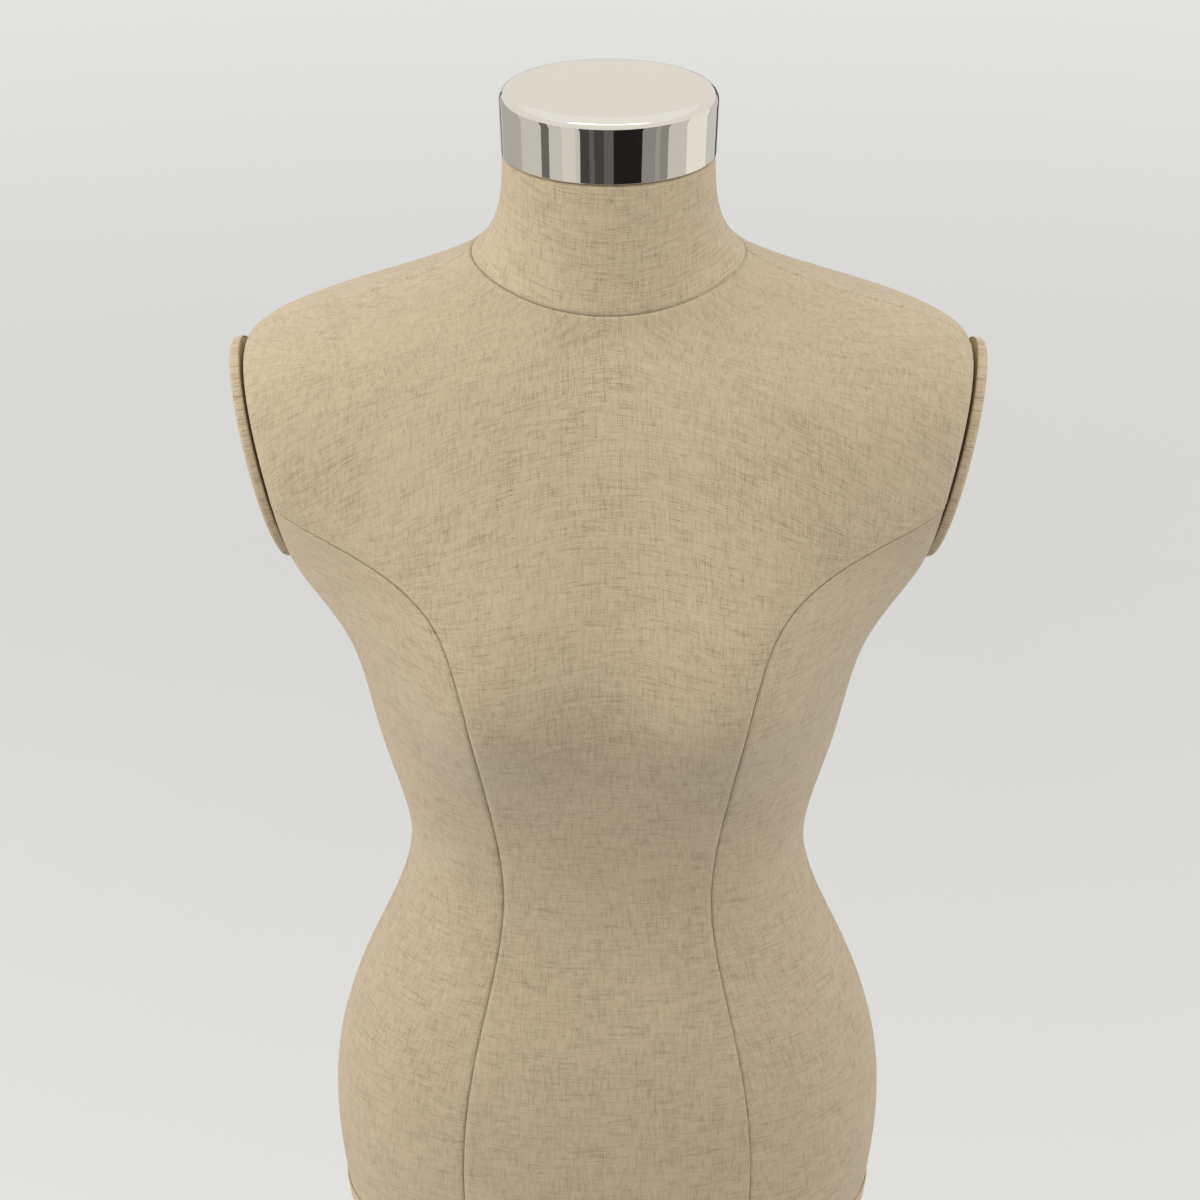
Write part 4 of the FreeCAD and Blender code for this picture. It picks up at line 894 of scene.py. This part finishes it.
class DRESSFORM_OT_arm_plates(PieceOperator, bpy.types.Operator):
    """Oval arm plates: a thin board on each arm plane in a linen cover drawn over its edge"""

    bl_idname = "dressform.arm_plates"
    bl_label = "Arm plates"

    def execute(self, context):
        for side, sign in (("left", 1), ("right", -1)):
            self.cover(side, sign)
        refinish("birch_plywood", "arm_plate_left", "arm_plate_right")
        return {"FINISHED"}

    def cover(self, side, sign):
        """An oval dome. From its foot the cloth climbs the board's edge, turns over it on a quarter
        circle and crosses its face, which is crowned. Going inward, the half width and half
        height shrink by equal lengths at first and in equal shares at the middle. Shallow pleats
        die away inward from the rim, as exp(-inward / 7)."""
        foot, face, outside, turn, across = 0.6, 6.3, 0.9, 2.4, 40.0
        crown_rise, pleat_depth, allowance = 0.7, 0.22, 8
        places, mean_radius = 241, 52
        bend = np.linspace(0, math.pi / 2, 8)[1:]
        inward = np.concatenate([np.zeros(4), turn * (1 - np.cos(bend)),
                                 turn + np.linspace(0, 1, 26)[1:-1] ** 0.9 * across, [FAR_OFF]])[:, None]
        height = np.concatenate([np.linspace(foot, face - turn, 4), face - turn + turn * np.sin(bend),
                                 np.full(25, face)])[:, None]
        angle = np.linspace(0, 2 * math.pi, places)
        tall, wide = ARM_HALF_HEIGHT + outside, ARM_HALF_WIDTH + outside
        shrink = np.clip(1 - inward / wide, 0, 1)
        blend = np.clip((inward - 6) / 34, 0, 1)
        upward = np.clip(tall - inward, 0, None) * (1 - blend) + shrink * tall * blend
        rim = np.arange(places) * 2 * math.pi * mean_radius / (places - 1)
        pleat = pleat_depth * ripple(rim * 0.9, inward * 0.1, 5 + sign) * np.exp(-inward / 7)
        crown = crown_rise * (1 - shrink ** 2)
        swell = np.where(inward < turn, pleat, 0)
        x = height + np.where(inward > turn, crown + pleat * 0.6, 0)
        y, z = (shrink * wide + swell) * np.cos(angle), (upward + swell) * np.sin(angle)
        local = np.stack([x, y, z], -1)
        lean = math.atan(ARM_LEAN)
        c, s = math.cos(lean), math.sin(lean)
        points = np.stack([c * local[..., 0] + s * local[..., 2], local[..., 1],
                           -s * local[..., 0] + c * local[..., 2]], -1)
        points = points + np.array([ARM_X, ARM_Y, ARM_Z])
        uv = np.stack([y, z], -1) * MM + 0.3
        if sign < 0:
            points = points[:, ::-1] * np.array([-1, 1, 1])
            uv = uv[:, ::-1]
        name = "arm_cloth_" + side
        points = placed(points)
        piece = make_piece(name + "_linen", [grid_patch(points, uv)], "natural_linen", "torso",
                           [name], smooth=180, closed=False)
        faces = np.empty(len(piece.data.polygons))
        piece.data.polygons.foreach_get("area", faces)
        stretched(piece,
                  self.sizes.linen_thickness * 0.8)


class DRESSFORM_OT_base(PieceOperator, bpy.types.Operator):
    """Round steel base plate with its bell-shaped flange, rubber feet and bolt"""

    bl_idname = "dressform.base"
    bl_label = "Base"

    def execute(self, context):
        bottom, top, wide = turned_size("base_plate")
        bolt, sunk = radius("base_bolt"), 5.5 * MM
        profile = rounded([
            (bolt * 0.5, bottom + sunk, 0), (bolt + FIT, bottom, 0.2 * MM),
            (wide, bottom, 0.5 * MM), (wide, top, 2.5 * MM), (bolt * 0.5, top, 0),
            (bolt * 0.5, bottom + sunk, 0),
        ], steps=10)
        make_piece("base_disc", [turned_patch(profile, 2 * self.sizes.round_segments)], "stand_chrome",
                   "stand", ["base_plate"], smooth=50)

        low_z, top_z, wide = turned_size("base_flange")
        pipe = radius("lower_pole")
        rim, neck = low_z + 3 * MM, pipe + 3.5 * MM
        profile = rounded([
            (pipe + FIT, low_z, 0), (wide, low_z, 0), (wide, rim, 1.5 * MM),
            (neck, rim, 24 * MM), (neck, top_z, 1.2 * MM), (pipe + FIT, top_z, 0.3 * MM),
            (pipe + FIT, low_z, 0),
        ], steps=18)
        make_piece("base_bell", [turned_patch(profile, self.sizes.round_segments)], "stand_chrome",
                   "stand", ["base_flange"], smooth=50)

        box_low, box_high = low("base_feet"), high("base_feet")
        foot, tall, groove = 15 * MM, box_high[2] - box_low[2], 0.8 * MM
        profile = rounded([(0, 0, 0), (5 * MM, 0, 0.3 * MM), (6 * MM, groove, 0.3 * MM),
                           (8 * MM, groove, 0.3 * MM), (9 * MM, 0, 0.3 * MM),
                           (foot, 0, 0.7 * MM), (foot, tall, 0.3 * MM), (0, tall, 0)], steps=3)
        patches = [
            turned_patch(profile, 48, (sx * (box_high[0] - foot), sy * (box_high[1] - foot), box_low[2]))
            for sx in (-1, 1) for sy in (-1, 1)]
        make_piece("base_rubber_feet", patches, "black_rubber", "stand", ["base_feet"])
        refinish("zinc_plate", "base_bolt", "foot_plug")
        return {"FINISHED"}


class DRESSFORM_OT_pole(PieceOperator, bpy.types.Operator):
    """The two chromed tubes, the clamp collar with its boss, and the plastic bush"""

    bl_idname = "dressform.pole"
    bl_label = "Pole"

    @staticmethod
    def pipe(node, wall=1.5 * MM):
        """A tube with a wall of even thickness and broken edges."""
        bottom, top, wide = turned_size(node)
        inner = wide - wall
        return turned_patch(rounded([
            (inner, top, 0), (inner, bottom, 0.2 * MM), (wide, bottom, 0.3 * MM), (wide, top, 0.3 * MM),
            (inner, top, 0),
        ], steps=3), 96)

    def execute(self, context):
        tubes = (("lower_tube", "lower_pole", "stand"), ("sliding_tube", "upper_pole", "pole"))
        for name, node, body in tubes:
            make_piece(name, [self.pipe(node)], "stand_chrome", body, [node])

        bottom, top, wide = turned_size("clamp_collar")
        pipe = radius("lower_pole") + FIT
        profile = rounded([
            (pipe, top, 0), (pipe, bottom, 0.3 * MM), (wide, bottom, 1.5 * MM), (wide, top, 1.5 * MM),
            (pipe, top, 0),
        ], steps=8)
        reach = high("clamp_collar")[1]
        hole, boss_radius, root = radius("height_screw") + 0.08 * MM, 8 * MM, reach - 12 * MM
        boss = rounded([
            (hole, root, 0), (boss_radius, root, 0), (boss_radius, reach, 0.9 * MM),
            (hole, reach, 0.4 * MM), (hole, root, 0),
        ], steps=6)
        middle = (0, 0, (low("height_knob")[2] + high("height_knob")[2]) / 2)
        make_piece("clamp_ring", [turned_patch(profile, self.sizes.round_segments),
                                  turned_patch(boss, 64, middle, axis="Y")],
                   "stand_chrome", "stand", ["clamp_collar"])
        refinish("black_nylon", "pole_bush", "pole_guide", "pole_cap")
        return {"FINISHED"}


class DRESSFORM_OT_thumb_screws(PieceOperator, bpy.types.Operator):
    """The two thumb screws: threaded shanks and fluted, chromed heads"""

    bl_idname = "dressform.thumb_screws"
    bl_label = "Thumb screws"

    def execute(self, context):
        for prefix in ("height", "swivel"):
            self.head(prefix)
            self.shank(prefix)
        return {"FINISHED"}

    def head(self, prefix):
        """A fluted head, turned about the screw's axis, with a dished end and bevelled edges."""
        knob, body = prefix + "_knob", prefix + "_screw"
        start, end = low(knob)[1], high(knob)[1]
        wide = (high(knob)[2] - low(knob)[2]) / 2
        middle = (0, 0, (low(knob)[2] + high(knob)[2]) / 2)
        shank, floor, dish = 4.05 * MM, end - 3 * MM, end - 0.5 * MM
        shoulder, bevel = wide - 1.4 * MM, 1.3 * MM
        profile = rounded([
            (shank, floor, 0), (shank, start, 0), (6.5 * MM, start, 0.3 * MM),
            (shoulder, start, 0.5 * MM), (wide, start + bevel, 0.5 * MM),
            (wide, end - bevel, 0.5 * MM), (shoulder, end, 0.6 * MM), (5 * MM, end, 0.4 * MM),
            (4 * MM, dish, 0.4 * MM), (0, dish, 0), (0, floor, 0), (shank, floor, 0),
        ], steps=4)
        patch = turned_patch(profile, 240, middle, axis="Y",
                             flutes=(20, 1.0 * MM, start + 1.2 * MM, end - 1.2 * MM))
        make_piece(prefix + "_thumb_head", [patch], "stand_chrome", body, [knob], smooth=50)

    def shank(self, prefix):
        """A screw thread: the radius is r less half the depth times (1 + cos(2 pi y / pitch + t))."""
        node = prefix + "_screw"
        start, end = low(node)[1], high(node)[1]
        middle = (low(node)[2] + high(node)[2]) / 2
        pitch, depth, outer, tip, tip_length = 1.25 * MM, 0.35 * MM, 4 * MM, 2.9 * MM, 1.2 * MM
        y = np.linspace(start + tip_length, end, int((end - start) / pitch * 9))
        t = np.linspace(0, 2 * math.pi, 49)
        fade = np.clip((y - y[0]) / pitch, 0, 1)[:, None]
        r = outer - depth * fade / 2 * (1 + np.cos(2 * math.pi * y[:, None] / pitch + t))
        r = np.vstack([0 * t, tip + 0 * t, r, 0 * t])
        y = np.concatenate([[start, start], y, [end]])
        points = np.stack([-r * np.cos(t), y[:, None] + 0 * t, r * np.sin(t) + middle], -1)
        make_piece(prefix + "_thread", [grid_patch(points)], "zinc_plate", node, [node], smooth=70)


class DRESSFORM_OT_fittings(PieceOperator, bpy.types.Operator):
    """Torso fittings: socket tube, socket flange, its screws, bottom board, neck block and bush"""

    bl_idname = "dressform.fittings"
    bl_label = "Torso fittings"

    def execute(self, context):
        bottom, top, plate = turned_size("socket_flange")
        bore, hub, under = radius("socket_tube") + FIT, 22 * MM, top - 3.95 * MM
        profile = rounded([
            (bore, top, 0), (bore, bottom, 0.3 * MM), (hub, bottom, 1.5 * MM),
            (hub, under, 2.5 * MM), (plate, under, 0.8 * MM), (plate, top, 0.5 * MM),
            (bore, top, 0),
        ], steps=7)
        make_piece("socket_hub", [turned_patch(profile, self.sizes.round_segments)], "stand_chrome",
                   "torso", ["socket_flange"])
        self.screws(under)
        refinish("stand_chrome", "socket_tube")
        refinish("birch_plywood", "bottom_board", "neck_block")
        refinish("black_nylon", "socket_plug", "neck_bush")
        return {"FINISHED"}

    def screws(self, under):
        """Four round-headed wood screws, each with a cross recess made by sinking the head where
        the smaller of |x| and |y| is under half the slot's width."""
        circle, head, rise, slot_width, slot_reach = 34 * MM, 4.2 * MM, 2.6 * MM, 1.1 * MM, 2.5 * MM
        r = np.concatenate([np.linspace(0, 1, 15), [1.0, 0.6, 0.0]]) * head
        t = np.linspace(0, 2 * math.pi, 65)
        x, y = r[:, None] * np.cos(t), r[:, None] * np.sin(t)
        z = -rise * np.sqrt(np.clip(1 - (r / head) ** 2 * 0.86, 0, 1))[:, None] + 0 * x
        slot = np.minimum(np.abs(x), np.abs(y)) < slot_width / 2
        deep = np.clip((slot_reach - r) / (0.8 * MM), 0, 1)[:, None]
        z = np.where(slot, z + 1.3 * MM * deep, z)
        z[-3:] = -0.02 * MM
        shank = rounded([(0, 0, 0), (2.2 * MM, 0, 0), (2.2 * MM, 12 * MM, 0), (0, 14 * MM, 0)], 2)
        patches = []
        for k in range(4):
            angle = math.radians(45 + 90 * k)
            centre = np.array([circle * math.cos(angle), circle * math.sin(angle), under - FIT])
            patches.append(grid_patch(np.stack([x, y, z], -1) + centre))
            patches.append(turned_patch(shank, 24, centre))
        make_piece("flange_wood_screws", patches, "zinc_plate", "torso", ["flange_screws"],
                   smooth=35)


class DRESSFORM_OT_studio(PieceOperator, bpy.types.Operator):
    """Studio: pale floor, soft lights, the walls that the chrome mirrors, and the camera"""

    bl_idname = "dressform.studio"
    bl_label = "Studio"

    # What stands round the room: from and to which angle round from the camera's side, in
    # degrees, and how light it is.
    FURNITURE = {
        "folding screen": (-150, -105, 0.45),
        "doorway": (-75, -65, 0.15),
        "pale cupboard": (-50, -35, 0.7),
        "open stair": (-30, -5, 0.06),
        "stair rail": (-20, -15, 0.12),
        "far window": (-5, 5, 0.12),
        "coat rack": (5, 35, 0.015),
        "grey curtain": (35, 65, 0.27),
        "curtain fold": (50, 55, 0.35),
        "white wall": (90, 125, 0.85),
        "back shelf": (155, 168, 0.10),
        "back door": (172, 186, 0.30),
        "back ladder": (-160, -155, 0.06),
    }
    # The lamps under the ceiling: middle, half width, half depth, and how bright each is.
    LAMPS = ((-0.9, -1.15, 0.5, 0.10, 4.0), (0.1, -1.35, 1.2, 0.09, 2.6), (1.0, -1.2, 0.5, 0.08, 1.9))

    def execute(self, context):
        self.floor()
        self.walls()
        self.lights(context.scene)
        self.camera(context.scene)
        context.scene.view_settings.view_transform = "Standard"
        return {"FINISHED"}

    def floor(self):
        """A flat disc 30 m across at floor level, greyer round the stand than far away: the paler far floor
        is painted light, standing in for the lamps' light that does not reach it.
        """
        mesh = bpy.data.meshes.new("studio_floor")
        t = np.linspace(0, 2 * math.pi, 97)
        r = np.array([0.0001, 0.5, 1, 2, 4, 8, 15.0])[:, None]
        points = np.stack([r * np.cos(t), r * np.sin(t), 0 * r * t - 0.0002], -1)
        verts, quads, _ = grid_patch(points)
        mesh.from_pydata(verts, [], quads)
        material, tree, shader = blank("studio_floor", Specular_IOR_Level=0.15)
        colour = bpy.context.scene.dress_form_finishes.floor
        place = own_place(tree)
        cloudy = noise(tree, place, 1.4, 3)
        near = ramp(tree, cloudy, [(0.3, shade(colour, 0.99)), (0.7, colour)])
        # Painted light: from 0.8 m to 7 m out the floor is painted from its own grey to almost white, making
        # up for the little lamp light it gets out there, so it meets the sky without a line.
        away = add_node(tree, "ShaderNodeVectorMath", {0: place}, operation="LENGTH")
        away = add_node(tree, "ShaderNodeMapRange", {
            "Value": away.outputs["Value"], "From Min": 0.8, "From Max": 7.0},
            interpolation_type="SMOOTHSTEP").outputs[0]
        tree.links.new(between(tree, away, near, (0.97, 0.968, 0.96)), shader.inputs["Base Color"])
        tree.links.new(ramp(tree, cloudy, [(0.3, 0.75), (0.7, 0.85)]), shader.inputs["Roughness"])
        mesh.materials.append(material)
        floor = bpy.data.objects.new("studio_floor", mesh)
        bpy.context.scene.collection.objects.link(floor)

    def walls(self):
        """Cards on a circle of 2.6 m, seen only in reflections: a lower wall with the room's
        furniture in front of it, a lighter upper wall, and a ceiling with three slim lamps. Each
        also lies on the floor as a wedge from the base to the wall, for the tubes to mirror."""
        reach, floor, sill, ceiling, edge = 2.6, -0.1, 1.62, 3.3, 0.18
        ply, lamp_drop = 0.4 * MM, 0.05
        warm = np.array([1.0, 0.945, 0.835])
        verts, faces, tones = [], [], []

        def card(corners, tone):
            """One flat card."""
            faces.append(tuple(range(len(verts), len(verts) + len(corners))))
            verts.extend(corners)
            tones.append(tone)

        def band(start, stop, inner, outer, tone):
            """Flat cards about 5 degrees wide between two rings, each a radius and a height."""
            turns = np.radians(np.linspace(start, stop, max(1, round((stop - start) / 5)) + 1))
            for pair in zip(turns[:-1], turns[1:]):
                near, far = ([(r * math.sin(a), -r * math.cos(a), z) for a in pair]
                             for r, z in (inner, outer))
                card([near[0], near[1], far[1], far[0]], tone)

        band(-180, 180, (reach, floor), (reach, sill), 0.6 * warm)
        band(-180, 180, (reach, sill), (reach, ceiling), 0.8 * warm)
        band(-180, 180, (edge, ply), (reach, ply), 0.56 * warm)
        for k, (start, stop, tone) in enumerate(self.FURNITURE.values(), start=1):
            away, level = reach - 0.02 * k, (k + 1) * ply
            band(start, stop, (away, floor), (away, sill), tone * warm)
            band(start, stop, (edge, level), (reach, level), (0.9 * tone + 0.03) * warm)
        t = np.linspace(0, 2 * math.pi, 49)[:-1]
        card([(reach * 1.02 * math.cos(a), reach * 1.02 * math.sin(a), ceiling) for a in t],
             np.array([0.86, 0.83, 0.76]))
        for x, y, wide, deep, tone in self.LAMPS:
            corners = [(x + i * wide, y + j * deep, ceiling - lamp_drop)
                       for i, j in ((-1, -1), (1, -1), (1, 1), (-1, 1))]
            card(corners, tone * np.array([1.0, 0.98, 0.93]))
        self.glow(verts, faces, tones)

    @staticmethod
    def glow(verts, faces, tones):
        """Makes the cards one object, which shines with each card's tone and nothing but gloss sees."""
        mesh = bpy.data.meshes.new("studio_walls")
        mesh.from_pydata(verts, [], faces)
        attribute = mesh.attributes.new("tone", "FLOAT_COLOR", "FACE")
        colours = np.hstack([np.array(tones), np.ones((len(tones), 1))])
        attribute.data.foreach_set("color", colours.ravel())
        material = bpy.data.materials.new("studio_walls")
        material.use_nodes = True
        material.cycles.emission_sampling = "NONE"
        tree = material.node_tree
        tree.nodes.clear()
        tone = add_node(tree, "ShaderNodeAttribute", attribute_name="tone").outputs["Color"]
        glow = add_node(tree, "ShaderNodeEmission", {"Color": tone, "Strength": 1.0})
        out = add_node(tree, "ShaderNodeOutputMaterial")
        tree.links.new(glow.outputs[0], out.inputs["Surface"])
        mesh.materials.append(material)
        walls = bpy.data.objects.new("studio_walls", mesh)
        bpy.context.scene.collection.objects.link(walls)
        walls.visible_camera = walls.visible_diffuse = walls.visible_shadow = False
        walls.visible_transmission = walls.visible_volume_scatter = False

    def lights(self, scene):
        """Soft boxes at both sides, stronger on the form's right, one overhead, and a pale sky."""
        chest = Vector((0, 0, 1.2))
        for name, place, size, watts in (
                ("soft_box_left", (-2.6, -0.7, 2.0), 1.6, 52), ("soft_box_right", (2.7, -0.4, 1.9), 1.4, 30),
                ("soft_box_above", (0.0, -0.6, 3.2), 2.4, 34)):
            data = bpy.data.lights.new(name, "AREA")
            data.shape, data.size, data.energy, data.color = "SQUARE", size, watts, (1, 0.985, 0.955)
            lamp = bpy.data.objects.new(name, data)
            scene.collection.objects.link(lamp)
            lamp.location = place
            lamp.rotation_euler = (chest - lamp.location).to_track_quat("-Z", "Y").to_euler()
            lamp.visible_glossy = False
        world = bpy.data.worlds.new("studio_sky")
        scene.world = world
        world.use_nodes = True
        sky = world.node_tree.nodes["Background"]
        sky.inputs["Color"].default_value = (1.0, 0.995, 0.985, 1)
        sky.inputs["Strength"].default_value = 0.78

    def camera(self, scene):
        """A long lens in front of the form, above the neck cap and looking down at it."""
        top = high("neck_cap_shell")[2]
        data = bpy.data.cameras.new("camera")
        data.lens, data.sensor_width = 78, 36
        data.clip_start, data.clip_end = 0.05, 60
        camera = bpy.data.objects.new("camera", data)
        scene.collection.objects.link(camera)
        distance, above = 1.2792, 0.3803
        camera.location = (0.0, -distance, top + above)
        pitch, yaw = math.radians(27.72), math.radians(0.198)
        camera.rotation_euler = (math.pi / 2 - pitch, 0, yaw)
        scene.camera = camera


class DRESSFORM_PT_panel(bpy.types.Panel):
    """Lists the pieces of the dress form with its sizes and colours"""

    bl_idname = "DRESSFORM_PT_panel"
    bl_label = "Dress form"
    bl_space_type = "VIEW_3D"
    bl_region_type = "UI"
    bl_category = "Dress form"

    def draw(self, context):
        layout = self.layout
        for operator in OPERATORS:
            layout.operator(operator.bl_idname, text=operator.bl_label)
        for group in (context.scene.dress_form_sizes, context.scene.dress_form_finishes):
            box = layout.box()
            for name in group.bl_rna.properties.keys():
                if name not in ("rna_type", "name"):
                    box.prop(group, name)


OPERATORS = (
    DRESSFORM_OT_base,
    DRESSFORM_OT_pole,
    DRESSFORM_OT_thumb_screws,
    DRESSFORM_OT_fittings,
    DRESSFORM_OT_cover,
    DRESSFORM_OT_hem_tape,
    DRESSFORM_OT_arm_plates,
    DRESSFORM_OT_neck_cap,
    DRESSFORM_OT_studio,
)
CLASSES = (DressFormSizes, DressFormFinishes, *OPERATORS, DRESSFORM_PT_panel)


def register():
    for made in CLASSES:
        bpy.utils.register_class(made)
    bpy.types.Scene.dress_form_sizes = PointerProperty(type=DressFormSizes)
    bpy.types.Scene.dress_form_finishes = PointerProperty(type=DressFormFinishes)


def unregister():
    del bpy.types.Scene.dress_form_finishes
    del bpy.types.Scene.dress_form_sizes
    for made in reversed(CLASSES):
        bpy.utils.unregister_class(made)


def main():
    """Makes every piece in order."""
    register()
    for operator in OPERATORS:
        group, name = operator.bl_idname.split(".")
        getattr(getattr(bpy.ops, group), name)()


if __name__ == "__main__":
    main()
